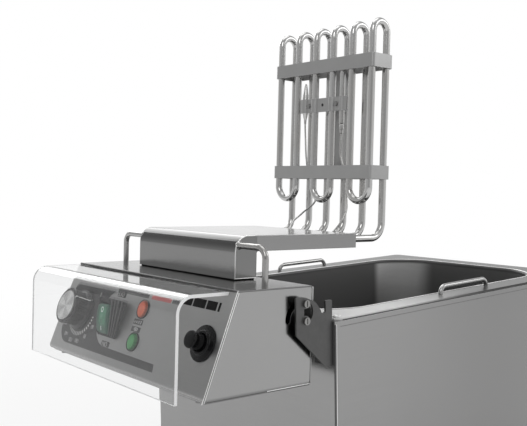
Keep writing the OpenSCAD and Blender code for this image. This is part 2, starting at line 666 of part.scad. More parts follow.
module limiter_capillary() {
  capillary([[row_x, limiter_bulb_y, 165.2], [146, 172, 148], [151, 175, 125], [154.5, 173, 105], [155, 161, 77],
    [150, 178, 60], [140, 184, 49], [128, 176, 38.5], [122, 174, 36.3], [116, 174, 36.2]]);
}
module thermostat_capillary() {
  capillary([[row_x, thermo_bulb_y, 152.6], [144.5, 112.4, 132], [145.5, 109, 117], [146.5, 105, 97],
    [146, 101.5, 79], [143, 98.5, 66], [138, 99, 56], [130, 105, 42], [123, 109.6, 36.5], [116, 110, 36.2]]);
}

// ---- Controls: what stands behind the panel carries what is seen on it
module thermostat() {
  color(steel) on_panel(knob_y, control_s) difference() {
    union() {
      translate([-20, -17, -28]) cube([40, 34, 24]);
      translate([0, 0, -5]) cylinder(h = 5.4, d = 10);
    }
    translate([0, 0, -16]) cylinder(h = 20, d = spindle_d + 2 * pin_gap);
  }
}
module knob_spindle() {
  color(steel) on_panel(knob_y, control_s) translate([0, 0, -14]) cylinder(h = 28, d = spindle_d);
}
module knob() {
  r = knob_d / 2;
  color(black) on_panel(knob_y, control_s) difference() {
    union() {
      rotate_extrude() polygon(rounded([[0, 1, 0], [r + 2, 1, 0.8], [r + 2, 3.4, 1.2], [r - 1, 5.5, 2],
        [r - 1.6, knob_h - 4, 1], [r, knob_h - 1.5, 0.8], [r - 0.6, knob_h, 0.6], [0, knob_h, 0]]));
      // Grip ribs round the barrel
      for (a = [0:20:359]) rotate([0, 0, a]) translate([r - 1.6, 0, 5]) cylinder(h = knob_h - 7, d = 2.4);
    }
    translate([0, 0, 0]) cylinder(h = 14.1, d = spindle_d + 0.04);
    translate([0, 0, knob_h - 1.2]) cylinder(h = 3, r = r - 3.4);
  }
}
module knob_cap() {
  color("#d6d7d9") on_panel(knob_y, control_s) translate([0, 0, knob_h - 1.2]) cylinder(h = 1.8, r = knob_d / 2 - 3.5);
}
// Switch: a stepped frame round the rocker, its body behind the panel
pivot_n = 5;
rocker_r = 15;
rocker_w = 21;
// Each step of the frame: its top above the panel and how much it is smaller all round
switch_steps = [[2.5, 0], [5, 1.4], [7.5, 2.4], [10, 3.2], [12.3, 3.9]];
module switch_housing() {
  color(black) on_panel(switch_y, control_s) difference() {
    union() {
      for (st = switch_steps) let (d = st[1], l = switch_l - 0.6 * d, w = switch_w - 3 * d)
        translate([-l / 2, -w / 2, 0]) rounded_block([l, w, st[0]], 2.5);
      translate([-17.1, -12.8, -24]) cube([34.2, 25.6, 25]);
    }
    translate([-rocker_r - 0.4, -rocker_w / 2 - 0.3, -7]) cube([2 * rocker_r + 0.8, rocker_w + 0.6, 30]);
    bar([0, -12, pivot_n], "y", 24, 3 + 2 * pin_gap);
  }
}
// The rocker rests with its lower end pressed in
module rocker() {
  rise = 1.2;
  color("#3aa35b") on_panel(switch_y, control_s) translate([0, 0, pivot_n]) rotate([0, -rock, 0]) union() {
    along_y(-rocker_w / 2, rocker_w) intersection() {
      circle(r = rocker_r);
      polygon([[-16, 7.6 + rise], [0, 7.6], [16, 7.6 + rise], [16, 1], [9, -7], [-9, -7], [-16, 1]]);
    }
    bar([0, -11.9, 0], "y", 23.8, 3);
  }
}
module bezel(s) {
  color(black) on_panel(lamp_y, s) difference() {
    union() {
      rotate_extrude() polygon(rounded([[0, 0, 0], [bezel_d / 2, 0, 0.3], [bezel_d / 2, 2.2, 1], [0, 2.2, 0]]));
      translate([0, 0, -14]) cylinder(h = 14.5, d = 12);
    }
    translate([0, 0, 0.6]) cylinder(h = 3, d = lamp_d + 0.2);
  }
}
module lamp(s) {
  r = lamp_d / 2;
  on_panel(lamp_y, s) translate([0, 0, 0.6]) rotate_extrude()
    polygon(concat([[0, 0], [r, 0], [r, 2]], [for (a = [0:10:90]) [r * cos(a), 2 + 3.4 * sin(a)]]));
}
module bezel_orange() { bezel(control_s - lamp_pitch / 2); }
module bezel_green() { bezel(control_s + lamp_pitch / 2); }
module lamp_orange() { color("#e2903a") lamp(control_s - lamp_pitch / 2); }
module lamp_green() { color("#37a866") lamp(control_s + lamp_pitch / 2); }
module limiter() {
  color(steel) on_panel(reset_y, control_s) difference() {
    union() {
      translate([-16, -16, -26]) cube([32, 32, 22]);
      translate([0, 0, -5]) cylinder(h = 5.2, d = 10);
    }
    translate([0, 0, -14]) cylinder(h = 20, d = 4 + 2 * pin_gap);
  }
}
module reset_base() {
  r = reset_d / 2;
  color(black) on_panel(reset_y, control_s) difference() {
    rotate_extrude() polygon(rounded([[0, 0, 0], [r, 0, 0.5], [r, 3.5, 2], [r - 5, 7, 1.5], [0, 7, 0]]));
    translate([0, 0, -1]) cylinder(h = 10, d = button_d + 2 * pin_gap);
  }
}
module reset_button() {
  r = button_d / 2;
  color(black) on_panel(reset_y, control_s) union() {
    rotate_extrude() polygon(rounded([[0, 3.6, 0], [r, 3.6, 0.3], [r, button_h, 1.2], [0, button_h, 0]]));
    translate([0, 0, -9]) cylinder(h = 13, d = 4);
  }
}

casing();
base_plate();
foot_rear_near();
foot_rear_far();
foot_front_near();
foot_front_far();
tank();
tank_handle_near();
tank_handle_far();
hinge_bracket_near();
hinge_bracket_far();
hinge_pin_near();
hinge_pin_far();
stop_pin_near();
stop_pin_far();
head_shell();
head_side_near();
head_side_far();
head_back();
cable_gland();
splash_guard();
element_box();
element_arm();
arm_end_plate();
box_gasket();
hanger_near();
hanger_far();
heating_rod_far();
heating_rod_middle();
heating_rod_near();
upper_band();
lower_band();
band_strap();
sensor_plate();
sensor_clamp();
sensor_screws();
limiter_bulb();
thermostat_bulb();
limiter_capillary();
thermostat_capillary();
thermostat();
limiter();
knob();
knob_cap();
knob_spindle();
switch_housing();
rocker();
reset_base();
reset_button();
lamp_orange();
lamp_green();
bezel_orange();
bezel_green();
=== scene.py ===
import json
import math
import bpy
import numpy as np
from mathutils import Matrix, Vector


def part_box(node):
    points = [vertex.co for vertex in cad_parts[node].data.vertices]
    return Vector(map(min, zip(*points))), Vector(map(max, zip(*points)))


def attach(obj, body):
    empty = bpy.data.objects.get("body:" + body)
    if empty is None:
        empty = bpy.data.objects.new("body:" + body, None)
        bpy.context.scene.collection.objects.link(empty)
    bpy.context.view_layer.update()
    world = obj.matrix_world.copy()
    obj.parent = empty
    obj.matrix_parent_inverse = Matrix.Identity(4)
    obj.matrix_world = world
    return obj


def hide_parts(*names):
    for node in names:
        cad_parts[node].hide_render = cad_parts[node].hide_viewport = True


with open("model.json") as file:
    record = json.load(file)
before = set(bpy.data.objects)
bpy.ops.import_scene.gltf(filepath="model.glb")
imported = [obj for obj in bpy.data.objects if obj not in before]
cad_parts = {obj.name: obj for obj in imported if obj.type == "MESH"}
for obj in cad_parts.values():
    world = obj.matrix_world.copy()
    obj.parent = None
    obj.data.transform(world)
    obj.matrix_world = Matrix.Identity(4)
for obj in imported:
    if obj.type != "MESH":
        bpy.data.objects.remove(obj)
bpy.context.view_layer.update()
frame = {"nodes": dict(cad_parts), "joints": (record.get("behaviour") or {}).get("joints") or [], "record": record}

joints = {j["name"]: j for j in frame["joints"]}
nodes = frame["nodes"]

# The head's own frame has its corner at the element plate's edge beside the tank, and is tilted as
# the photograph shows. Sizes are millimetres in that frame, on the control panel or from the casing's
# near rear top corner, unless said.
head = dict(tilt=3.0, hingeIn=14.6, hingeDrop=30.8, plate=88.7, panelOut=35.0, depth=91.6, controls=49.5)
pivot = np.array(joints["head_tilt"]["pos_m"]) * 1000
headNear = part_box("head_shell")[0].y * 1000


def cosSin(degrees):
    return math.cos(math.radians(degrees)), math.sin(math.radians(degrees))


tiltCos, tiltSin = cosSin(head["tilt"])
slopeLen = math.hypot(head["panelOut"], head["depth"])
upPanel = np.array([head["panelOut"], 0, head["depth"]]) / slopeLen
outPanel = np.array([-head["depth"], 0, head["panelOut"]]) / slopeLen


def inHead(points):
    # row = pivot + turn about Y by the tilt of (point + distance to the hinge)
    p = np.asarray(points, float)
    x, z = p[..., 0] + head["hingeIn"], p[..., 2] + head["hingeDrop"]
    return np.stack([pivot[0] + x * tiltCos + z * tiltSin, headNear + p[..., 1],
                     pivot[2] - x * tiltSin + z * tiltCos], -1) / 1000


def onPanel(points):
    # each point is (y along the panel, s down it, n out of it)
    p = np.asarray(points, float)
    flat = -p[..., 1:2] * upPanel + p[..., 2:3] * outPanel
    return inHead(np.stack([flat[..., 0] - head["plate"], p[..., 0], flat[..., 2]], -1))


def turnedHead(v):
    # a direction of the head's frame, tilted with it
    return np.array([v[0] * tiltCos + v[2] * tiltSin, v[1], -v[0] * tiltSin + v[2] * tiltCos])


# The camera's place in metres from the casing's near rear top corner, and its angles in degrees
view = dict(place=(-0.51476, -0.51015, 0.14567), azimuth=40.10, down=3.49, roll=-0.84, focalPixels=791.76, width=527)
lowCase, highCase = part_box("casing")
caseCorner = Vector((lowCase.x, lowCase.y, highCase.z))
az, el, ro = (math.radians(view[k]) for k in ("azimuth", "down", "roll"))
forward = np.array([math.sin(az) * math.cos(el), math.cos(az) * math.cos(el), -math.sin(el)])
right = np.array([math.cos(az), -math.sin(az), 0.0])
above = np.cross(right, forward)
camRight = math.cos(ro) * right + math.sin(ro) * above
camUp = -math.sin(ro) * right + math.cos(ro) * above
camera = bpy.data.objects.new("camera", bpy.data.cameras.new("camera"))
bpy.context.scene.collection.objects.link(camera)
camera.data.sensor_width = 36
camera.data.lens = view["focalPixels"] / view["width"] * 36
camera.data.clip_start, camera.data.clip_end = 0.02, 60
turn = Matrix([list(camRight), list(camUp), list(-forward)]).transposed().to_4x4()
camera.matrix_world = Matrix.Translation(caseCorner + Vector(view["place"])) @ turn
bpy.context.scene.camera = camera
print("camera placed")


class Wire:
    # a socket that sums like a number
    def __init__(self, look, socket):
        self.look, self.socket = look, socket

    def op(self, kind, *terms):
        return self.look.node("ShaderNodeMath", {"operation": kind}, dict(enumerate(terms)))

    def __add__(self, o): return self.op("ADD", self, o)
    def __sub__(self, o): return self.op("SUBTRACT", self, o)
    def __rsub__(self, o): return self.op("SUBTRACT", o, self)
    def __mul__(self, o): return self.op("MULTIPLY", self, o)
    def __pow__(self, o): return self.op("POWER", self, o)
    def sine(self): return self.op("SINE", self)
    def size(self): return self.op("ABSOLUTE", self)
    def over(self, edge): return self.op("GREATER_THAN", self, edge)
    def clipped(self): return self.look.node("ShaderNodeClamp", {}, {0: self})

    def spread(self, low, high, toLow=0.0, toHigh=1.0):
        return self.look.node("ShaderNodeMapRange", {"interpolation_type": "SMOOTHSTEP"},
                              {0: self, 1: low, 2: high, 3: toLow, 4: toHigh})


class Look:
    # one material: a node tree and its main shader
    def __init__(self, name, **shader):
        self.material = bpy.data.materials.new(name)
        self.material.use_nodes = True
        self.tree = self.material.node_tree
        self.shader = self.tree.nodes["Principled BSDF"]
        for key, value in shader.items():
            self.shader.inputs[key.replace("_", " ")].default_value = value
        self.place = self.node("ShaderNodeTexCoord", out="Object")

    def node(self, kind, settings=None, inputs=None, out=0):
        made = self.tree.nodes.new(kind)
        for key, value in (settings or {}).items():
            setattr(made, key, value)
        for key, value in (inputs or {}).items():
            if isinstance(value, Wire):
                self.tree.links.new(value.socket, made.inputs[key])
            else:
                made.inputs[key].default_value = value
        return Wire(self, made.outputs[out])

    def mixShader(self, factor, a, b):
        made = self.node("ShaderNodeMixShader", {}, {0: factor, 1: a, 2: b})
        self.tree.links.new(made.socket, self.tree.nodes["Material Output"].inputs["Surface"])

    def ray(self, name):
        return self.node("ShaderNodeLightPath", out=name)

    def feed(self, **wires):
        for key, wire in wires.items():
            self.tree.links.new(wire.socket, self.shader.inputs[key.replace("_", " ")])
        return self

    def vector(self, kind, *terms, out=0):
        return self.node("ShaderNodeVectorMath", {"operation": kind}, dict(enumerate(terms)), out)

    def stretched(self, scale):
        return self.vector("MULTIPLY", self.place, scale)

    def noise(self, scale, detail, rough, where=None):
        return self.node("ShaderNodeTexNoise", {}, {"Vector": where or self.place, "Scale": scale, "Detail": detail,
                                                    "Roughness": rough})

    def mix(self, factor, a, b):
        return self.node("ShaderNodeMix", {"data_type": "RGBA"}, {"Factor": factor, 6: a, 7: b}, out=2)

    def axes(self, centre, *directions):
        # distances of a point from the centre along each direction, in millimetres
        arm = self.vector("SUBTRACT", self.place, tuple(centre))
        return [self.vector("DOT_PRODUCT", arm, tuple(d), out="Value") * 1000 for d in directions]

    def faceAxes(self, box):
        # distances from the middle of a control's box, up the panel and along it
        return self.axes((box[0] + box[1]) / 2, turnedHead(upPanel), (0, 1, 0))

    def angle(self, a, b):
        return self.node("ShaderNodeMath", {"operation": "ARCTAN2"}, {0: a, 1: b})

    def rounded(self, radius):
        return self.node("ShaderNodeBevel", {"samples": 4}, {"Radius": radius})

    def bumped(self, height, distance, strength, under=None):
        values = {"Height": height, "Distance": distance, "Strength": strength}
        if under:
            values["Normal"] = under
        return self.node("ShaderNodeBump", {}, values)


def grey(v):
    return (v, v, v * 0.995, 1)


def steelLook(name, tone, rough, grain, edge=0.0005, depth=0.00001, stain=0.03, smear=0.05, paintedShades=(), satin=None):
    # satin sheet: long fine scratches along the sheet's rolling direction, faint clouds, rounded edges;
    # each painted shade (place, direction, from, to, share) takes the tone towards a share of it along the direction;
    # satin (place, direction, from, to, more) is a zone with more roughness
    look = Look(name, Metallic=1.0)
    lines = look.noise(1.0, 4.0, 0.7, look.stretched(grain))
    clouds = look.noise(9.0, 3.0, 0.5)
    mottle = look.noise(140.0, 2.0, 0.5)
    mask = (lines * 0.6 + clouds * 0.3 + mottle * 0.1)
    colour = look.mix(mask.spread(0.3, 0.7), grey(tone * (1 - stain)), grey(tone * (1 + stain)))
    # Painted shade: the tone is taken towards a share of it along each given direction
    for place, way, start, end, share in paintedShades:
        colour = look.mix(look.axes(place, way)[0].spread(start, end), colour, grey(tone * share))
    under = look.rounded(edge) if edge else None
    roughness = lines * smear + clouds * smear + (rough - smear)
    if satin:
        roughness = roughness + look.axes(satin[0], satin[1])[0].spread(satin[2], satin[3]) * satin[4]
    return look.feed(Base_Color=colour, Roughness=roughness,
                     Normal=look.bumped(lines, depth, 0.5, under)).material


def wireLook(name, tone, rough):
    # drawn wire and tube: polished, with faint rings and heat tint
    look = Look(name, Metallic=1.0)
    fine = look.noise(260.0, 2.0, 0.6)
    tint = look.noise(14.0, 2.0, 0.5)
    colour = look.mix(tint.spread(0.35, 0.7), grey(tone), (tone * 0.95, tone * 0.94, tone * 0.92, 1))
    return look.feed(Base_Color=colour, Roughness=fine * 0.04 + tint * 0.04 + rough,
                     Normal=look.bumped(fine, 0.0000015, 0.3)).material


def plasticLook(name, colour, rough, grainSize=900.0, depth=0.00002, edge=0.0003, coat=0.0, specular=0.3):
    look = Look(name, Metallic=0.0, Coat_Weight=coat, Coat_Roughness=0.08, Specular_IOR_Level=specular)
    grain = look.noise(grainSize, 2.0, 0.5)
    wear = look.noise(30.0, 3.0, 0.6)
    darker = tuple(c * 0.85 for c in colour[:3]) + (1,)
    return look.feed(Base_Color=look.mix(wear.spread(0.3, 0.75), darker, colour),
                     Roughness=grain * 0.12 + wear * 0.08 + (rough - 0.08),
                     Normal=look.bumped(grain, depth, 0.6, look.rounded(edge))).material


headTop, headUp = inHead((0, 0, 0)), turnedHead((0, 0, 1))
steel = dict(sheet=0.37, sheetRough=0.24, headTone=0.40, headRough=0.19, arm=0.33, armRough=0.14, box=0.30,
             bracket=0.13, bracketRough=0.42, rod=0.62, rodRough=0.13)
finish = {
    # Painted shade: the casing's sheet darkens along its length, away from the near rear corner
    "casing_steel": steelLook("casingSheet", steel["sheet"], steel["sheetRough"], (6, 6, 900),
                              paintedShades=[(caseCorner, (1, 0, 0), 0, 280, 0.80)]),
    "base_steel": steelLook("baseSheet", 0.42, 0.40, (6, 500, 6)),
    "foot_rubber": plasticLook("footRubber", (0.022, 0.022, 0.023, 1), 0.75, 500, 0.00008),
    "wire_steel": wireLook("brightWire", 0.46, 0.16),
    "bracket_steel": steelLook("bracketPlate", steel["bracket"], steel["bracketRough"], (70, 70, 70), edge=0.0003,
                               stain=0.08),
    "screw_steel": wireLook("brightScrew", 0.32, 0.22),
    # Painted shade: the head's top plate and the lower edge of its sides are darker
    "head_steel": steelLook("headSheet", steel["headTone"], steel["headRough"], (900, 8, 900), edge=0.00025,
                            paintedShades=[(headTop, headUp, -1.0, -0.4, 0.55), (headTop, headUp, -87.5, -90.5, 0.55)],
                            satin=(onPanel((0.0, 50.0, 0.0)), turnedHead(outPanel), -1.2, -0.4, 0.16)),
    "gland_plastic": plasticLook("glandPlastic", (0.03, 0.03, 0.03, 1), 0.5),
    "arm_steel": steelLook("armSheet", steel["arm"], steel["armRough"], (12, 900, 900), edge=0.0012),
    "gasket_rubber": plasticLook("gasketRubber", (0.006, 0.006, 0.006, 1), 0.8),
    "rod_metal": wireLook("heatingTube", steel["rod"], steel["rodRough"]),
    "band_steel": steelLook("bandSheet", 0.43, 0.36, (60, 60, 60), edge=0.0003),
    "bulb_metal": wireLook("bulbTube", 0.60, 0.16),
    "capillary_metal": wireLook("capillaryTube", 0.55, 0.22),
    "control_body": plasticLook("controlBody", (0.10, 0.10, 0.10, 1), 0.5),
    "knob_black": plasticLook("knobBlack", (0.007, 0.007, 0.0075, 1), 0.30, 700, 0.00002, 0.0003, 0.15, 0.25),
    "switch_black": plasticLook("switchBlack", (0.024, 0.024, 0.025, 1), 0.38, 900, 0.00003, 0.0004),
    "reset_black": plasticLook("resetBlack", (0.004, 0.004, 0.0045, 1), 0.24, 700, 0.00001, 0.0003, 0.2, 0.16),
    "bezel_black": plasticLook("bezelBlack", (0.012, 0.012, 0.012, 1), 0.42),
}
# Painted shade: the element box's upper bend is darker, though not the arm's top beyond it, and so is its near cheek
boxSheet = steelLook("boxSheet", steel["box"], steel["armRough"], (12, 900, 900), edge=0.0012,
                     paintedShades=[(headTop, headUp, 24, 34, 0.36), (headTop, turnedHead((1, 0, 0)), -31, -25, 1.0),
                            (inHead((0, 64, 0)), (0, -1, 0), 0.5, 1.6, 0.80)])
# Pale steels for thin beads along edges: painted highlights, one bright and one softer
paintedSoftHighlightEdge = steelLook("paintedSoftHighlightEdge", 0.60, 0.38, (60, 60, 60), edge=0, stain=0.04)
paintedHighlightEdge = steelLook("paintedHighlightEdge", 0.92, 0.38, (60, 60, 60), edge=0, stain=0.04)


def tankLook():
    # pressed sheet: painted shade makes the well darker than its rim, painted light brightens its far corner, and
    # painted shade dims the rim to the far side
    look = Look("tankSheet", Specular_IOR_Level=0.2)
    x, y, z = look.axes(caseCorner, (1, 0, 0), (0, 1, 0), (0, 0, 1))
    lines = look.noise(1.0, 4.0, 0.7, look.stretched((12, 12, 60)))
    inside = z.spread(-4.5, -1.0, 1, 0)
    # Painted shade: the rim darkens along the casing and towards the far side
    rim = look.mix(y.spread(120, 270), look.mix(x.spread(40, 260), grey(0.66), grey(0.07)), grey(0.12))
    # Painted light: a bright band in the well's far corner, brighter towards the top; the rest of the well is painted
    # shade
    corner = x.spread(353, 366) * y.spread(208, 238) * z.spread(-70, 0, 0.5, 1)
    wall = look.mix(corner, grey(0.22), grey(1.0))
    sheet = look.mix(inside, rim, wall)
    wearAndPaintedLight = look.mix(lines.spread(0.3, 0.7, 0, 0.12), sheet, grey(0.2))
    # Painted shade: the rim also turns less metallic along the casing and towards the far side
    shade = (x.spread(70, 260) + y.spread(120, 240)).clipped()
    return look.feed(Base_Color=wearAndPaintedLight, Metallic=inside * 0.8 + (1 - inside) * (1 - shade * 0.85),
                     Roughness=inside * 0.12 + lines * 0.05 + 0.27,
                     Normal=look.bumped(lines, 0.000005, 0.5, look.rounded(0.0005))).material


finish["tank_steel"] = tankLook()


def spunLook():
    # turned face: fine rings round the cap's centre, and a soft four-way glint painted into its colour as a painted
    # highlight
    look = Look("knobFace", Metallic=1.0)
    a, b = look.faceAxes(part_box("knob_cap"))
    ring = (a * a + b * b) ** 0.5
    rings = (ring * 9).sine()
    fan = (look.angle(a, b) * 4 + 0.6).sine()
    colour = look.mix(fan.spread(-1, 1), grey(0.50), grey(0.74))
    return look.feed(Base_Color=colour, Roughness=rings * 0.05 + 0.26,
                     Normal=look.bumped(rings, 0.00002, 0.5)).material


finish["knob_metal"] = spunLook()


def lensLook(name, node, colour):
    # ribbed lens: moulded ribs fan out from the middle; the paler colour on the ribs is painted highlight, and the
    # deeper colour at the rim is painted shade
    look = Look(name, Metallic=0.0, Coat_Weight=0.08, Coat_Roughness=0.1, IOR=1.49, Specular_IOR_Level=0.2)
    a, b = look.faceAxes(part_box(node))
    ring = (a * a + b * b) ** 0.5
    ribs = (look.angle(a, b) * 18).sine() * ring.spread(1.5, 4.0) * 0.5 + 0.5
    pale = tuple(min(1, c * 1.6 + 0.06) for c in colour) + (1,)
    full = tuple(colour) + (1,)
    deep = tuple(c * 0.5 for c in colour) + (1,)
    # Painted highlight on the ribs, painted shade at the rim
    mixed = look.mix(ring.spread(6.0, 8.2), look.mix(ribs, full, pale), deep)
    return look.feed(Base_Color=mixed, Roughness=ribs * 0.15 + 0.2, Normal=look.bumped(ribs, 0.0002, 0.6)).material


finish["lens_orange"] = lensLook("lensOrange", "lamp_orange", (0.42, 0.075, 0.028))
finish["lens_green"] = lensLook("lensGreen", "lamp_green", (0.022, 0.205, 0.05))


def rockerLook():
    # tinted rubber cover: painted light in the middle, and painted shade darkening its sides, ends and rim
    look = Look("rockerGreen", Metallic=0.0, IOR=1.5, Specular_IOR_Level=0.3)
    a, b = look.faceAxes(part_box("rocker"))
    clouds = look.noise(60.0, 2.0, 0.5)
    ends = (a.size() + clouds * 2).spread(6.5, 12.5)
    sides = ((b + 1.5).size() + clouds).spread(4.5, 9.0)
    lit = look.mix(ends, (0.045, 0.215, 0.115, 1), (0.022, 0.10, 0.06, 1))
    face = look.mix(sides, lit, (0.020, 0.085, 0.055, 1))
    return look.feed(Base_Color=face, Roughness=clouds * 0.1 + 0.30,
                     Normal=look.bumped(clouds, 0.00002, 0.4, look.rounded(0.0006))).material


finish["rocker_green"] = rockerLook()


def clearLook():
    # clear sheet, which lets the lamps' light through
    look = Look("clearSheet", IOR=1.3, Transmission_Weight=1.0, Roughness=0.0, Specular_IOR_Level=0.3)
    look.shader.inputs["Base Color"].default_value = (0.93, 0.934, 0.936, 1)
    through = look.node("ShaderNodeBsdfTransparent")
    look.mixShader(look.ray("Is Shadow Ray"), Wire(look, look.shader.outputs[0]), through)
    return look.material


def cutEdgeLook():
    look = Look("cutEdge", Metallic=0.0)
    saw = look.noise(900.0, 2.0, 0.6)
    return look.feed(Base_Color=look.mix(saw, (0.93, 0.94, 0.94, 1), (0.985, 0.985, 0.985, 1)),
                     Roughness=saw * 0.2 + 0.35, Normal=look.bumped(saw, 0.00002, 0.5)).material


def inkAndShadeLook(name, colour):
    look = Look(name, Metallic=0.0, Specular_IOR_Level=0.1)
    grain = look.noise(500.0, 2.0, 0.6)
    paler = tuple(c * 1.12 + 0.004 for c in colour) + (1,)
    return look.feed(Base_Color=look.mix(grain, tuple(colour) + (1,), paler), Roughness=grain * 0.15 + 0.45).material


# Print colours; the dark, mid and black ones also draw seams and lines of painted shade
inkAndShade = {"dark": inkAndShadeLook("inkAndShadeDark", (0.055, 0.055, 0.056)), "black": inkAndShadeLook("inkAndShadeBlack", (0.007, 0.007, 0.007)),
       "mid": inkAndShadeLook("seamAndShadeMid", (0.17, 0.17, 0.17)), "red": inkAndShadeLook("inkRed", (0.42, 0.085, 0.085)),
       "pale": inkAndShadeLook("inkPale", (0.60, 0.60, 0.59)), "white": inkAndShadeLook("inkWhite", (0.85, 0.85, 0.85))}
slotOf = {s["node"]: s["material_slot"] for s in frame["record"]["subparts"]}
for name, made in nodes.items():
    if slotOf[name] in finish:
        made.data.materials.clear()
        made.data.materials.append(finish[slotOf[name]])
nodes["element_box"].data.materials[0] = boxSheet
print("finishes made")


def meshFrom(name, points, faces, material, body, smooth=True, facing=None):
    mesh = bpy.data.meshes.new(name)
    mesh.from_pydata(np.asarray(points, float).reshape(-1, 3).tolist(), [], faces)
    mesh.update()
    # A closed piece has a positive volume; a flat print faces along facing
    mesh.calc_loop_triangles()
    corners = np.array([v.co for v in mesh.vertices])[np.array([t.vertices for t in mesh.loop_triangles])]
    areas = np.cross(corners[:, 1] - corners[:, 0], corners[:, 2] - corners[:, 0])
    middle = corners.mean(axis=(0, 1))
    share = areas @ np.asarray(facing) if facing is not None else np.einsum("ij,ij->i", areas, corners[:, 0] - middle)
    if share.sum() < 0:
        mesh.flip_normals()
    piece = bpy.data.objects.new(name, mesh)
    bpy.context.scene.collection.objects.link(piece)
    for m in (material if isinstance(material, list) else [material]):
        mesh.materials.append(m)
    mesh.polygons.foreach_set("use_smooth", np.full(len(mesh.polygons), smooth))
    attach(piece, body)
    return piece


def gridFaces(m, n, closedU=False, closedV=False, flip=False):
    # quads between row i and i + 1, column j and j + 1 of an m by n grid
    i, j = np.meshgrid(np.arange(m if closedU else m - 1), np.arange(n if closedV else n - 1), indexing="ij")
    i, j = i.ravel(), j.ravel()
    i2, j2 = (i + 1) % m, (j + 1) % n
    quads = np.stack([i * n + j, i2 * n + j, i2 * n + j2, i * n + j2], 1)
    return (quads[:, ::-1] if flip else quads).tolist()


def eased(points, steps):
    # Catmull-Rom curve through the points: each span is a cubic that keeps its neighbours' direction
    p = np.asarray(points, float)
    p = np.vstack([2 * p[0] - p[1], p, 2 * p[-1] - p[-2]])
    t = np.linspace(0, len(p) - 3, steps)
    i = np.minimum(t.astype(int), len(p) - 4)
    u = (t - i)[:, None]
    a, b, c, d = p[i], p[i + 1], p[i + 2], p[i + 3]
    return b + 0.5 * u * ((c - a) + u * ((2 * a - 5 * b + 4 * c - d) + u * (3 * (b - c) + d - a)))


def tube(name, path, radius, material, body, around, domed=True):
    # ring k of the tube = path[k] + r(k) (cos a side + sin a over), with side and over square to the path
    path = np.asarray(path, float)
    radii = np.full(len(path), float(radius)) if np.isscalar(radius) else np.asarray(radius, float)
    if domed:
        ends = np.array([0.02, 0.5, 0.85])
        gap0, gap1 = path[1] - path[0], path[-1] - path[-2]
        gap0, gap1 = gap0 / np.linalg.norm(gap0), gap1 / np.linalg.norm(gap1)
        back = np.sqrt(1 - ends ** 2)[:, None]
        path = np.vstack([path[0] - gap0 * radii[0] * back, path, path[-1] + gap1 * radii[-1] * back[::-1]])
        radii = np.concatenate([radii[0] * ends, radii, radii[-1] * ends[::-1]])
    way = np.gradient(path, axis=0)
    way /= np.linalg.norm(way, axis=1)[:, None]
    side = np.zeros_like(way)
    start = np.cross(way[0], [0.31, 0.83, 0.46])
    side[0] = start / np.linalg.norm(start)
    for k in range(1, len(way)):
        s = side[k - 1] - way[k] * (side[k - 1] @ way[k])
        side[k] = s / np.linalg.norm(s)
    over = np.cross(way, side)
    a = np.linspace(0, 2 * np.pi, around, endpoint=False)
    turned = np.cos(a)[None, :, None] * side[:, None] + np.sin(a)[None, :, None] * over[:, None]
    rings = path[:, None] + radii[:, None, None] * turned
    faces = gridFaces(len(path), around, closedV=True, flip=True)
    faces += [list(range(around)), [len(rings) * around - 1 - k for k in range(around)]]
    return meshFrom(name, rings, faces, material, body)


def rounding(centre, radius, start, end, steps=5):
    # points of an arc: centre + radius * (cos a, sin a)
    return [(centre[0] + radius * math.cos(a), centre[1] + radius * math.sin(a))
            for a in np.radians(np.linspace(start, end, steps))]


def rectangle(x0, x1, y0, y1):
    return [(x0, y0), (x1, y0), (x1, y1), (x0, y1)]


def roundedOutline(corners, steps):
    # polygon whose corners (x, y, radius) become arcs tangent to both sides
    made = []
    count = len(corners)
    for k in range(count):
        p = np.array(corners[k][:2], float)
        r = corners[k][2]
        u = np.array(corners[k - 1][:2], float) - p
        v = np.array(corners[(k + 1) % count][:2], float) - p
        u, v = u / np.linalg.norm(u), v / np.linalg.norm(v)
        if r < 0.01:
            made.append(p)
            continue
        half = math.acos(float(np.clip(u @ v, -1, 1))) / 2
        middle = p + (u + v) / np.linalg.norm(u + v) * r / math.sin(half)
        first, last = p + u * r / math.tan(half) - middle, p + v * r / math.tan(half) - middle
        a0, a1 = math.atan2(first[1], first[0]), math.atan2(last[1], last[0])
        a1 = a0 + (a1 - a0 + math.pi) % (2 * math.pi) - math.pi
        a = np.linspace(a0, a1, steps)
        made += list(middle + r * np.stack([np.cos(a), np.sin(a)], 1))
    return np.array(made)


guard = dict(thick=3.0, reach=143.5, top=1.6, bend=16.0, near=10.0, width=273.5, cut=0.06, seat=0.1)


def panelAt(z):
    return -head["plate"] + z * head["panelOut"] / head["depth"]


def makeGuard():
    x, z, t = -guard["reach"], -guard["top"], guard["thick"]
    low, cut, seat = -head["depth"], guard["cut"], guard["seat"]
    outline = roundedOutline([(x, low, cut), (x, z, guard["bend"]), (panelAt(z) - seat, z, 0),
                              (panelAt(z - t) - seat, z - t, 0), (x + t, z - t, guard["bend"] - t),
                              (x + t, low, cut)], 28)[::-1]
    # The outline is carried along y and closed at both ends
    count, ends = len(outline), (guard["near"], guard["near"] + guard["width"])
    faces = gridFaces(2, count, closedV=True) + [list(range(count)), list(range(2 * count - 1, count - 1, -1))]
    piece = meshFrom("guardSheet", inHead([[(x, y, z) for x, z in outline] for y in ends]), faces,
                     [clearLook(), cutEdgeLook()], "head", False)
    # The two ends and the lower edge are cut
    under = outline[:, 1] < low + cut + 0.001
    for k in [*np.flatnonzero(under & np.roll(under, -1)), count, count + 1]:
        piece.data.polygons[int(k)].material_index = 1
    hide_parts("splash_guard")


makeGuard()
print("guard made")

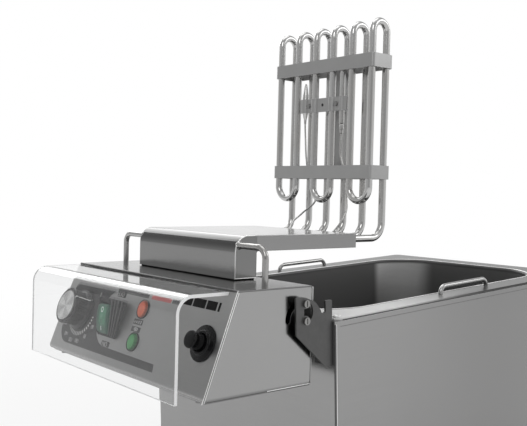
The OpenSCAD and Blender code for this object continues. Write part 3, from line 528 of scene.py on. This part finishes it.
capillaries = {
    "limiter_capillary": [(144.4, 171.6, 165.2), (146, 172, 148), (151, 175, 125), (154.5, 173, 105), (155, 161, 77),
                          (150, 178, 60), (140, 184, 49), (128, 176, 38.5), (122, 174, 36.3), (116, 174, 36.2)],
    "thermostat_capillary": [(144.4, 111.5, 152.6), (144.5, 112.4, 132), (145.5, 109, 117), (146.5, 105, 97),
                             (146, 101.5, 79), (143, 98.5, 66), (138, 99, 56), (130, 105, 42), (123, 109.6, 36.5),
                             (116, 110, 36.2)],
}
# The radius is in metres
capillary = dict(radius=0.001, steps=90, around=14)
for node, way in capillaries.items():
    piece = tube("tube_" + node, inHead(eased(way, capillary["steps"])), capillary["radius"],
                 finish["capillary_metal"], "head", capillary["around"], False)
    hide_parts(node)
print("capillaries made")


outward = turnedHead(outPanel)
# How far the clear guard moves what is seen behind it, and the heights of the inks over the panel
printShift, lowInk, midInk, highInk = 1.2, 0.06, 0.1, 0.14


def flatPrintAndShade(name, points, faces, tone, body, facing=outward):
    meshFrom(name, points, faces, inkAndShade[tone], body, smooth=False, facing=facing)


def printed(name, outlines, tone, lift):
    # closed outlines (y, s) lifted off the panel
    points, faces = [], []
    for outline in outlines:
        outline = [(p[0] - printShift, p[1]) for p in outline]
        faces.append(list(range(len(points), len(points) + len(outline))))
        points += [(p[0], p[1], lift) for p in outline]
    flatPrintAndShade(name, onPanel(points), faces, tone, "head")


def plate(y0, y1, s0, s1, r):
    return roundedOutline([(y0, s0, r), (y1, s0, r), (y1, s1, r), (y0, s1, r)], 6)


def words(text, y, s, height, lift, squeeze=1.0):
    # flat letters in the program's own plain font, read along y, scaled so that capitals have the height
    curve = bpy.data.curves.new("letters", "FONT")
    curve.body, curve.size, curve.align_x, curve.align_y = text, height / 0.72, "CENTER", "CENTER"
    curve.resolution_u = 4
    made = bpy.data.objects.new("letters", curve)
    bpy.context.scene.collection.objects.link(made)
    mesh = bpy.data.meshes.new_from_object(made)
    flat = np.array([v.co[:2] for v in mesh.vertices], float)
    faces = [list(p.vertices) for p in mesh.polygons]
    bpy.data.objects.remove(made)
    bpy.data.meshes.remove(mesh)
    flat[:, 0] *= squeeze
    return [(y + a, s + b, lift) for a, b in flat], faces


def lettering(name, parts, tone, place, body):
    points, faces = [], []
    for p, f in parts:
        faces += [[k + len(points) for k in face] for face in f]
        points += p
    flatPrintAndShade(name, place(points), faces, tone, body)


panel = dict(knob=(237.0, 49.5), switch=(173.5, 49.5), lamps=129.5, reset=(23.0, 49.5), discRadius=29.3, discUp=0.4)
ky, ks = panel["knob"]
sy, ss = panel["switch"]
# The dark field ends at the light disc round the switch
arc = [(sy + panel["discRadius"] * math.sin(a), ss - panel["discUp"] + panel["discRadius"] * math.cos(a))
       for a in np.radians(np.linspace(14, 166, 48))]
field = ([(sy + 10, 20.8), (262, 20.8), (266.5, 22), (269.5, 26), (271, 32), (271, 66)]
         + rounding((251, 66), 20, 0, 90, 12) + [(80.9, 86), (82.5, 78.8), (sy + 7.1, 77.9)])
printed("printField", [field + arc], "dark", lowInk)
# Strips over the field: their upper edges, and from and to along the panel
stripLow = 20.4
strips = {"Dark": (16.0, [(126, 183.5), (75, 86)]), "Red": (16.0, [(88, 121)]),
          "Black": (12.4, [(57.6, 72), (37.6, 56), (21.4, 36), (16.2, 19.2)])}
for tone, (top, spans) in strips.items():
    printed("printStrip" + tone, [rectangle(*span, top, stripLow) for span in spans], tone.lower(), lowInk)
# Each plate: from and to along the panel and down it, and the corner's radius
plates = [(165.8, 181.4, 20.6, 27.0, 1), (165.6, 181.2, 72.3, 77.7, 1), (121.6, 137.4, 43.2, 48.6, 0.8),
          (121.6, 137.4, 50.6, 55.6, 0.8)]
printed("printPlates", [plate(*sizes) for sizes in plates], "dark", midInk)
# Ticks grow towards the angle 0, which points down the panel
tick = dict(angles=np.arange(-80, 56, 8.0), inner=22.4, outer=23.4, more=3.2, half=0.8)
ticks = []
for a in tick["angles"]:
    r0, r1, w = tick["inner"], tick["outer"] + tick["more"] * cosSin(a * 0.9)[0], tick["half"]
    c, q = cosSin(a)
    ticks.append([(ky + q * r + c * e, ks + c * r - q * e) for r, e in ((r0, -w), (r1, -w), (r1, w), (r0, w))])
printed("printTicks", ticks, "pale", midInk)
scale = dict(radius=32.4, height=4.2, squeeze=0.9, angles={"0": 220, "60": 156, "80": 131, "100": 106, "120": 82,
                                                           "140": 57, "160": 32, "180": 7, "190": -20})
numbers = []
for text, a in scale["angles"].items():
    c, q = cosSin(a)
    numbers.append(words(text, ky + scale["radius"] * c, ks + scale["radius"] * q, scale["height"], midInk,
                         scale["squeeze"]))
lettering("printNumbers", numbers, "pale", onPanel, "head")
# Each sign: its word, place along and down the panel, and height
signs = [("OFF", 173.6, 23.8, 4.9), ("ON", 173.4, 75.0, 4.5)]
lettering("printOnOff", [words(*sign, highInk) for sign in signs], "pale", onPanel, "head")
# Signs on the lamp plates: a rising line for heat and a stroke in a circle for supply
heat = dict(y=124.0, gap=3.6, wide=1.0, top=44.3, step=0.35, low=47.4)
supply = dict(y=129.5, s=53.1, outer=3.2, inner=2.3, turn=1.1, squash=0.62, stroke=(128.9, 130.1, 51.4, 54.8))
drawn = [rectangle(heat["y"] + k * heat["gap"], heat["y"] + heat["wide"] + k * heat["gap"],
                   heat["top"] + k * heat["step"], heat["low"]) for k in range(4)] + [rectangle(*supply["stroke"])]
turns = np.linspace(-supply["turn"], supply["turn"], 8)
bow = [(supply["outer"], a) for a in turns] + [(supply["inner"], a) for a in turns[::-1]]
for way in (1, -1):
    drawn.append([(supply["y"] + way * r * math.cos(a), supply["s"] + r * supply["squash"] * math.sin(a))
                  for r, a in bow])
printed("printSigns", drawn, "pale", highInk)
print("panel printed")

# The cover: its pivot's height over the panel, its tilt in degrees, and its face's height over the pivot
rocker = dict(pivotOut=5.0, tilt=16.8, top=8.9, crown=1.6, middle=-0.95, length=28.4, width=20.6, corner=3.2, deep=7.0)


def onRocker(points):
    # (y, s from the pivot, lift) on the cover's face, which is turned about the pivot by the tilt:
    # height = top - crown * (2 (u - middle) / length) squared, with u up the panel
    p = np.asarray(points, float)
    u = -p[..., 1]
    n = rocker["top"] - rocker["crown"] * ((u - rocker["middle"]) / rocker["length"] * 2) ** 2 + p[..., 2]
    c, q = cosSin(rocker["tilt"])
    return onPanel(np.stack([p[..., 0], head["controls"] - (u * c - n * q), rocker["pivotOut"] + u * q + n * c], -1))


# The rocker's ring and stroke, from its pivot
marks = dict(ring=-8.3, inner=1.45, outer=2.15, squash=1.25, around=32, stroke=(8.0, 12.2), half=0.5)
turns = np.linspace(0, 2 * np.pi, marks["around"], endpoint=False)
ring = [(sy + r * math.cos(a), marks["ring"] + r * marks["squash"] * math.sin(a), midInk)
        for r in (marks["inner"], marks["outer"]) for a in turns]
stroke = [(y, s, midInk) for y, s in rectangle(sy - marks["half"], sy + marks["half"], *marks["stroke"])]
lettering("rockerMarks", [(ring, gridFaces(2, marks["around"], closedV=True, flip=True)), (stroke, [[0, 1, 2, 3]])],
          "white", onRocker, "rocker_body")
pointer = dict(angle=218, half=0.42, lift=0.08)


def makePointer():
    # a painted line: up the barrel from the cap's edge, then out over the skirt
    c, q = cosSin(pointer["angle"])
    profile = [(15.9, 21.06), (18.5, 21.06), (19.06, 20.4), (19.06, 19.5), (17.9, 17.2), (18.75, 17.0), (18.75, 7.0),
               (18.4, 5.6), (20.6, 3.6), (21.06, 3.0)]
    pts = [(ky + (r + pointer["lift"]) * c - e * q, ks + (r + pointer["lift"]) * q + e * c, n)
           for r, n in profile for e in (-pointer["half"], pointer["half"])]
    flatPrintAndShade("knobPointer", onPanel(pts), gridFaces(len(profile), 2), "white", "knob_body")


makePointer()
print("marks made")


def ringed(name, rings, material, body):
    # closed rings of equally many points, in metres, joined in their order and capped at both ends
    count = len(rings[0])
    faces = gridFaces(len(rings), count, closedV=True)
    faces += [list(range(count - 1, -1, -1)), [(len(rings) - 1) * count + k for k in range(count)]]
    return meshFrom(name, np.asarray(rings), faces, material, body)


def turnedOnPanel(name, y, s, profile, material, body, slotName, ribs=0, deep=0.0, ribbed=(0, 0), around=96):
    # a profile (radius, height) turned about the panel's normal; ribs cut the radius by
    # deep * (1 - cos(ribs * angle)) / 2 between the heights in ribbed
    a = np.linspace(0, 2 * np.pi, around, endpoint=False)
    rings = []
    for r, n in profile:
        cut = deep * (1 - np.cos(ribs * a)) / 2 if ribbed[0] <= n <= ribbed[1] else 0
        rings.append(onPanel(np.stack([y + (r - cut) * np.cos(a), s + (r - cut) * np.sin(a), np.full(around, n)], 1)))
    return ringed(name, rings, material, body)


knob = dict(radius=19.0, height=21.0, ribs=36, deep=0.55, ribbed=(6.3, 16.5), around=216)


def makeKnob():
    # black barrel with fine grip ribs, a lip round the cap's seat and a skirt on the panel
    r, h = knob["radius"], knob["height"]
    profile = ([(0.02, 1.0), (r + 1.4, 1.0)] + rounding((r + 1.4, 1.6), 0.6, -90, 0)
               + rounding((r + 0.8, 3.0), 1.2, 0, 80) + [(r - 0.6, 4.9), (r - 1.2, 5.6), (r - 1.4, 6.4), (r - 1.5, 8)]
               + [(r - 1.6, 12), (r - 1.6, 16), (r - 1.3, 17.2)]
               + rounding((r - 0.9, 18.4), 0.9, -60, 60) + rounding((r - 1.3, 20.1), 0.9, 10, 90)
               + [(r - 2.6, h), (r - 3.2, h - 0.3), (r - 3.4, h - 1.1), (0.02, h - 1.1)])
    piece = turnedOnPanel("knobShell", ky, ks, profile, finish["knob_black"], "knob_body", "knob_black", knob["ribs"],
                          knob["deep"], knob["ribbed"], knob["around"])
    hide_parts("knob")


reset = dict(flange=16.0, cap=7.5, ribs=24, deep=0.35, ribbed=(5.0, 11.0), around=144)


def makeReset():
    y, s = panel["reset"]
    r, c = reset["flange"], reset["cap"]
    flange = ([(0.02, 0.02), (r, 0.02)] + rounding((r - 0.1, 0.6), 0.5, -60, 60) + [(r - 0.5, 1.15)]
              + [(11.4, 1.7), (10.7, 2.0)] + rounding((9.9, 3.3), 0.8, 0, 90) + rounding((8.9, 3.5), 0.6, 90, 180)
              + [(8.3, 0.14), (0.02, 0.14)])
    piece = turnedOnPanel("resetFlange", y, s, flange, finish["reset_black"], "head", "reset_black")
    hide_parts("reset_base")
    cap = ([(0.02, 3.3), (c, 3.3), (c + 0.1, 3.8), (c - 0.2, 6.0), (c - 0.4, 9.0), (c - 0.3, 11.0), (c, 12.6)]
           + rounding((c - 1.2, 14.4), 1.5, -8, 88, 8) + [(4.5, 16.05), (2.0, 16.2), (0.02, 16.2)])
    piece = turnedOnPanel("resetCap", y, s, cap, finish["reset_black"], "reset_body", "reset_black", reset["ribs"],
                          reset["deep"], reset["ribbed"], reset["around"])
    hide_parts("reset_button")


# Where the photograph shows each lamp: towards the near side of the panel, and above or below its middle
lamp = dict(radius=8.2, edge=0.8, rise=0.9, ribs=18, deep=0.35, ribbed=(0.9, 1.6), around=144,
            places={"orange": (2.2, -16.2), "green": (3.2, 15.7)})


def makeLamp(colour, near, down):
    y, s, r = panel["lamps"] - near, head["controls"] + down, lamp["radius"]
    ring = ([(0.02, 0.02), (9.3, 0.02)] + rounding((9.0, 0.7), 0.4, -20, 90)
            + [(8.5, 1.15), (8.35, 0.9), (8.3, 0.3), (8.0, 0.3), (0.02, 0.3)])
    rings = turnedOnPanel("bezelRing_" + colour, y, s, ring, finish["bezel_black"], "head", "bezel_black")
    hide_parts("bezel_" + colour)
    turns = np.radians((12, 25, 40, 55, 70, 82))
    dome = ([(0.02, 0.35), (r, 0.35), (r, lamp["edge"])]
            + [(r * math.cos(t), lamp["edge"] + lamp["rise"] * math.sin(t)) for t in turns]
            + [(0.02, lamp["edge"] + lamp["rise"])])
    lens = turnedOnPanel("lens_" + colour, y, s, dome, finish["lens_" + colour], "head", "lens_" + colour,
                         lamp["ribs"], lamp["deep"], lamp["ribbed"], lamp["around"])
    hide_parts("lamp_" + colour)


def roundedRing(halfY, halfS, corner):
    # points (y, s) of a rounded rectangle about the origin, equally many for every size
    return roundedOutline([(-halfY, -halfS, corner), (halfY, -halfS, corner), (halfY, halfS, corner),
                           (-halfY, halfS, corner)], 9)


# The boot's outline, how far its top ring lies in, and its height, which falls down the panel
boot = dict(halfY=16.4, halfS=18.5, insetY=5.55, insetS=1.9, corner=3.2, height=11.4, fall=0.27, middle=50.0,
            lipS=15.2, lipShift=1.4, lip=0.8, lipMore=0.17)


def makeBoot():
    # a moulded cover: ridge on ridge up to the rocker's opening, tall at its upper end and low at the lower;
    # each pair is how far in a ring lies and its share of the height there
    steps = [(0, 0.0), (0, 0.36), (0.02, 0.41), (0.07, 0.43), (0.16, 0.38), (0.21, 0.28), (0.25, 0.34), (0.27, 0.56),
             (0.3, 0.63), (0.36, 0.64), (0.45, 0.58), (0.49, 0.46), (0.52, 0.52), (0.54, 0.74), (0.57, 0.8),
             (0.63, 0.81), (0.71, 0.74), (0.74, 0.66), (0.77, 0.72), (0.79, 0.92), (0.82, 0.98), (0.88, 1.0),
             (0.95, 0.98), (1.0, 0.95)]
    rings = []
    for inset, share in steps:
        flat = roundedRing(boot["halfY"] - boot["insetY"] * inset, boot["halfS"] - boot["insetS"] * inset,
                           boot["corner"] * (1 - 0.4 * inset))
        s = ss + flat[:, 1]
        top = boot["height"] - boot["fall"] * (s - boot["middle"])
        rings.append(onPanel(np.stack([sy + flat[:, 0], s, np.maximum(share * top, 0.02)], 1)))
    # The lip falls inwards at the upper end, close to the rocker's cover
    lip = roundedRing(boot["halfY"] - boot["insetY"], boot["lipS"], boot["corner"] * 0.6)
    s = ss + boot["lipShift"] + lip[:, 1]
    share = boot["lip"] + boot["lipMore"] * np.clip((boot["middle"] - s) / 14, 0, 1)
    for n in (share * (boot["height"] - boot["fall"] * (s - boot["middle"])), np.full(len(s), 0.5)):
        rings.append(onPanel(np.stack([sy + lip[:, 0], s, n], 1)))
    looks = [plasticLook("bootBlack", (0.014, 0.014, 0.0145, 1), 0.45, specular=0.12),
             plasticLook("bootGroovesPaintedShade", (0.002, 0.002, 0.002, 1), 0.6, specular=0.05),
             plasticLook("bootCrestsPaintedHighlight", (0.11, 0.11, 0.112, 1), 0.45, specular=0.2)]
    piece = ringed("switchBoot", rings, looks, "head")
    # Grooves are painted darker as painted shade, and crests paler as painted highlights
    count = len(rings[0])
    for k in range(1, len(steps) - 1):
        rise, past = steps[k + 1][1] - steps[k][1], steps[k][1] - steps[k - 1][1]
        groove, crest = rise < -0.03 or past < -0.03, 0 <= rise < 0.025 or 0.045 < rise < 0.075
        for face in range(k * count, (k + 1) * count):
            piece.data.polygons[face].material_index = 1 if groove else 2 if crest else 0
    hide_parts("switch_housing")


def filled(flat, steps=10):
    # the four straight sides split into equal steps, so that a ring follows a curved face
    t = np.linspace(0, 1, steps + 2)[1:-1, None]
    parts = []
    for k in range(0, 36, 9):
        parts += [flat[k:k + 9], flat[k + 8] * (1 - t) + flat[(k + 9) % 36] * t]
    return np.vstack(parts)


def makeRocker():
    # crowned cover whose ends follow the circle that the real rocker swings in
    w, l = rocker["width"] / 2, rocker["length"] / 2
    rings = []
    # Each pair is how far in a ring lies and its drop below the face
    for inset, drop in [(10.25, 0), (8, 0), (5, 0), (3, 0), (1.5, 0.06), (0.8, 0.25), (0.3, 0.6), (0.0, 1.3),
                        (-0.1, 2.6), (-0.1, rocker["deep"])]:
        corner = min(max(0.4, rocker["corner"] - inset * 0.6), (w - inset) * 0.9)
        flat = filled(roundedRing(w - inset, l - inset, corner))
        rings.append(onRocker(np.stack([sy + flat[:, 0], flat[:, 1] - rocker["middle"],
                                        np.full(len(flat), -float(drop))], 1)))
    piece = ringed("rockerCover", rings, finish["rocker_green"], "rocker_body")
    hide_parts("rocker")


makeKnob()
makeReset()
for colour, place in lamp["places"].items():
    makeLamp(colour, *place)
makeBoot()
makeRocker()
print("controls made")


def bead(name, points, radius, place=inHead, material=paintedHighlightEdge, body="head"):
    tube(name, place(points), radius / 1000, material, body, 10)


def strip(name, corners, out, tone, body="head", place=inHead):
    # a flat line with corners (x, z), so far outside the near side
    flatPrintAndShade(name, place([(x, -out, z) for x, z in corners]), [list(range(len(corners)))], tone, body, (0, -1, 0))


# The head's sloping edges, drawn as bright beads that are painted highlights: how far behind the panel each lies, and
# from and to down it
slopes = dict(bead=0.5, panel=(0.6, 1.2, 91.0), side=(2.4, 2.2, 90.4))
for name, (back, *drops) in (("edgePanel", slopes["panel"]), ("edgeSide", slopes["side"])):
    bead(name, [(panelAt(-z) + back, 0, -z) for z in drops], slopes["bead"])
seamsAndShadowLine = dict(out=0.06, slope=(1.8, 90.4, 1.0, 2.0), top=(-87.4, -1.5, -1.5, -0.8), low=(-52, -2, -91.4, -90.9))
strip("seamSlope", [(panelAt(-z) + back, -z) for z, back in rectangle(*seamsAndShadowLine["slope"])], seamsAndShadowLine["out"], "dark")
strip("seamTop", rectangle(*seamsAndShadowLine["top"]), seamsAndShadowLine["out"], "mid")
# Painted shadow: a dark line along the bottom of the head's near side
strip("shadowLineLow", rectangle(*seamsAndShadowLine["low"]), seamsAndShadowLine["out"], "dark")
folds = dict(front=((-88.5, 1.5, -0.5), (-88.5, 280.5, -0.5)), low=((-52.5, 0, -90.3), (-2, 0, -90.3)),
             rear=((-0.7, 0, -1.5), (-0.7, 0, -34)), frontBead=1.0, bead=0.4)
# Painted shade: a dark line along the head's front fold
bead("foldFront", folds["front"], folds["frontBead"], material=finish["bracket_steel"])
# Painted highlights: bright lines along the head's lower and rear edges
bead("edgeLow", folds["low"], folds["bead"])
bead("edgeRear", folds["rear"], folds["bead"])

# The element box's bent near edge, its bottom edge and the arm's upper edge, as beads of painted highlight, and a weld
# at each foot of the hanger
element = dict(near=62.0, bend=15.0, bendX=-28.0, bendZ=27.0, edge=0.55, low=0.45, arm=0.4, armEnd=118.0,
               weld=4.2, weldX=-38.0, weldZ=33.0, weldNear=62.2, weldFar=231.8)
near, bend = element["near"], element["bend"]
boxFront, boxTop = element["bendX"] - bend, element["bendZ"] + bend
boxBend = [(element["bendX"] - bend * math.cos(a), near, element["bendZ"] + bend * math.sin(a))
           for a in np.radians(np.linspace(0, 90, 12))]
bead("edgeBox", [(boxFront, near, 1.6)] + boxBend + [(-20, near, boxTop)], element["edge"])
bead("edgeBoxLow", [(boxFront + 0.4, near, 1.7), (-17.5, near, 1.7)], element["low"])
bead("edgeArm", [(-16, near, boxTop), (element["armEnd"], near, boxTop)], element["arm"], material=paintedSoftHighlightEdge)


def weld(name, y, way):
    # a low swell of metal where a wire is welded on: the radius shrinks along the wire
    path = [(element["weldX"], y + way * k, element["weldZ"]) for k in (0.0, 0.5, 1.2, 2.0)]
    radii = np.array([1.0, 0.95, 0.82, 0.7]) * element["weld"] / 1000
    tube(name, inHead(path), radii, finish["wire_steel"], "head", 18)


weld("hangerWeldNear", element["weldNear"], -1)
weld("hangerWeldFar", element["weldFar"], 1)


def bodyPoints(points):
    # millimetres from the casing's near rear top corner
    return np.asarray(caseCorner) + np.asarray(points, float) / 1000


# The well's upper edge has a painted highlight, with a line of painted shade outside it; the rim's foot shows as a
# thin line of painted shade, and the casing's folded edges as thin painted highlights and a line of painted shade
rim = dict(x=(12, 415), y=(29, 275), corner=63, height=1.75, bead=0.7, shade=0.45, shadeOut=1.5, shadeOver=140,
           foot=((12, 2.5, 0.25), (432, 2.5, 0.25)), footBead=0.4)
case = dict(bead=0.35, top=((6, 0.4, -1.4), (438, 0.4, -1.4)), side=((1.3, 0.35, -3), (1.3, 0.35, -212)),
            fold=(6, 438, -5.2, -4.7), foldOut=0.05, corner=2.5, shadeOut=0.06, shadeTo=228, shadeZ=(-3, -212))


def makeRimEdges():
    (x0, x1), (y0, y1), r = rim["x"], rim["y"], rim["corner"]
    loop = filledLoop(roundedOutline([(x0, y0, r), (x1, y0, r), (x1, y1, r), (x0, y1, r)], 24))
    middle = np.array([x0 + x1, y0 + y1]) / 2
    # Painted highlight along the well's edge, and painted shade just outside it
    for name, shift, radius, look in (("rimBeadHighlight", 0.0, rim["bead"], paintedHighlightEdge),
                                      ("rimShade", rim["shadeOut"], rim["shade"], finish["bracket_steel"])):
        flat = (loop - middle) * (1 + shift / rim["shadeOver"]) + middle
        points = np.column_stack([flat, np.full(len(flat), rim["height"])])
        ringTube(name, bodyPoints(points), radius / 1000, look, "base")
    # Painted shade: a dark line at the rim's foot
    bead("rimFootShade", rim["foot"], rim["footBead"], bodyPoints, finish["bracket_steel"], "base")
    # Painted highlights: bright lines along the casing's top and its near corner
    bead("caseTopHighlight", case["top"], case["bead"], bodyPoints, paintedHighlightEdge, "base")
    bead("caseCornerHighlight", case["side"], case["bead"], bodyPoints, paintedHighlightEdge, "base")
    # Painted shade: a grey line along the casing's fold below its top
    strip("caseFoldShade", rectangle(*case["fold"]), case["foldOut"], "mid", "base", bodyPoints)
    # Round the casing's corner: middle + (corner + a little) * (cos a, sin a)
    a = np.radians(np.linspace(180, case["shadeTo"], 8))
    arc = case["corner"] + (case["corner"] + case["shadeOut"]) * np.stack([np.cos(a), np.sin(a)], 1)
    shade = [(x, y, z) for x, y in arc for z in case["shadeZ"]]
    meshFrom("caseCornerShade", bodyPoints(shade), gridFaces(len(a), 2), finish["bracket_steel"], "base",
             facing=(-0.8, -0.6, 0))


def filledLoop(flat, gap=6.0):
    # extra points on a closed path wherever two neighbours lie further apart than the gap
    parts = []
    for p, q in zip(flat, np.roll(flat, -1, axis=0)):
        count = max(1, int(np.linalg.norm(q - p) / gap))
        parts.append(p + (q - p) * (np.arange(count) / count)[:, None])
    return np.vstack(parts)


def ringTube(name, path, radius, material, body, around=10):
    # closed level path: each section is a circle square to it
    way = np.roll(path, -1, axis=0) - np.roll(path, 1, axis=0)
    way /= np.linalg.norm(way, axis=1)[:, None]
    side = np.cross(way, (0, 0, 1.0))
    a = np.linspace(0, 2 * np.pi, around, endpoint=False)
    turned = np.cos(a)[None, :, None] * side[:, None] + np.sin(a)[None, :, None] * np.array((0, 0, 1.0))
    rings = path[:, None] + radius * turned
    meshFrom(name, rings, gridFaces(len(path), around, True, True), material, body)


# Boss with a hole at the rim's corner beside the bracket; each pair is a radius and a height over its foot
stud = dict(x=12.5, y=11.2, foot=1.9, hole=1.5, holeUp=0.6, around=28,
            profile=[(1.5, 0.0), (4.0, 0.0), (4.0, 0.9), (3.6, 1.4), (1.9, 1.6), (1.55, 1.2), (1.5, 0.3), (1.5, 0.0)])


def makeStud():
    a = np.linspace(0, 2 * np.pi, stud["around"], endpoint=False)
    rings = [[(stud["x"] + r * math.cos(t), stud["y"] + r * math.sin(t), stud["foot"] + n) for t in a]
             for r, n in stud["profile"] + [(stud["hole"], stud["holeUp"])]]
    faces = gridFaces(len(stud["profile"]), len(a), closedV=True)
    # Painted highlight: the boss is made in the bright edge steel
    meshFrom("rimStud", bodyPoints(rings[:-1]), faces, paintedHighlightEdge, "base")
    # Painted shade: a black disc inside the hole
    flatPrintAndShade("rimStudHoleShade", bodyPoints(rings[-1]), [list(range(len(a)))], "black", "base", (0, 0, 1))


makeRimEdges()
makeStud()
print("edges and fastenings made")

room = dict(base=0.34, behind=0.9, right=0.38, left=0.16, over=0.5, floor=0.72, floorShade=0.22, floorGloss=0.5)
world = bpy.data.worlds.new("studio")
bpy.context.scene.world = world
world.use_nodes = True


class WorldLook(Look):
    def __init__(self, tree):
        self.tree = tree


def seenDirectly(look):
    # white to the camera, and through the guard as long as the ray hasn't met metal before
    clean = (1 - look.ray("Glossy Depth").over(0.5)) * (1 - look.ray("Diffuse Depth").over(0.5))
    return (look.ray("Is Camera Ray") + look.ray("Is Transmission Ray") * clean).clipped()


# What metal mirrors: the white backdrop behind the object, a bright right wall, a dimmer left one, light overhead
sky = WorldLook(world.node_tree)
direction = sky.node("ShaderNodeTexCoord", out="Generated")
ways = {"behind": (0.644, 0.765, 0), "left": (-0.765, 0.644, 0), "over": (0, 0, 1)}
along = {k: sky.vector("DOT_PRODUCT", direction, v, out="Value") for k, v in ways.items()}
backdrop = along["behind"].spread(0.35, 0.95) * along["over"].spread(0.15, 0.55, 1, 0)
level = (backdrop * room["behind"] + along["left"].spread(0.2, 0.9) * room["left"]
         + (0 - along["left"]).spread(0.2, 0.95) * room["right"] + along["over"].spread(0.7, 1.0) * room["over"]
         + room["base"])
shade = sky.node("ShaderNodeCombineXYZ", {}, {0: level, 1: level, 2: level})
white = (seenDirectly(sky) + sky.ray("Is Glossy Ray") * backdrop.over(0.92)).clipped()
colour = sky.mix(white, shade, (1, 1, 1, 1))
background = world.node_tree.nodes["Background"]
world.node_tree.links.new(colour.socket, background.inputs["Color"])

floorLook = Look("floorPale", Roughness=0.9)
floorLook.shader.inputs["Base Color"].default_value = (room["floor"],) * 3 + (1,)
seenFloor = (seenDirectly(floorLook) + floorLook.ray("Is Glossy Ray") * room["floorGloss"]).clipped()
distance = floorLook.vector("LENGTH", floorLook.place, out="Value")
glow = floorLook.node("ShaderNodeEmission", {}, {"Color": (1, 1, 1, 1), "Strength": 1.0})
floorLook.mixShader(seenFloor * (1 - (1 - distance.spread(0.5, 1.6)) * room["floorShade"]),
                    Wire(floorLook, floorLook.shader.outputs[0]), glow)
bpy.ops.mesh.primitive_plane_add(size=24, location=(0, 0, 0))
floor = bpy.context.object
floor.name = "floor"
floor.data.materials.append(floorLook.material)

# Places, aims and sizes in metres, powers in watts
lamps = [dict(name="keyLamp", place=(-1.5, -1.3, 1.7), aim=(0, 0, 0.3), size=(0.9, 1.2), power=8),
         dict(name="rightLamp", place=(1.6, -1.4, 1.3), aim=(0.1, 0, 0.3), size=(1.2, 0.8), power=6),
         dict(name="topLamp", place=(0.2, 0.3, 2.2), aim=(0, 0, 0.2), size=(1.4, 1.4), power=6),
         dict(name="backLamp", place=(0.46, 1.69, 1.32), aim=(0, 0, 0.2), size=(1.8, 0.9), power=13)]
for light in lamps:
    data = bpy.data.lights.new(light["name"], "AREA")
    data.shape, data.size, data.size_y, data.energy = "RECTANGLE", light["size"][0], light["size"][1], light["power"]
    made = bpy.data.objects.new(light["name"], data)
    bpy.context.scene.collection.objects.link(made)
    aim = Vector(light["aim"]) - Vector(light["place"])
    made.matrix_world = Matrix.Translation(light["place"]) @ aim.to_track_quat("-Z", "Y").to_matrix().to_4x4()
bpy.context.scene.view_settings.view_transform = "Standard"
print("stage set")
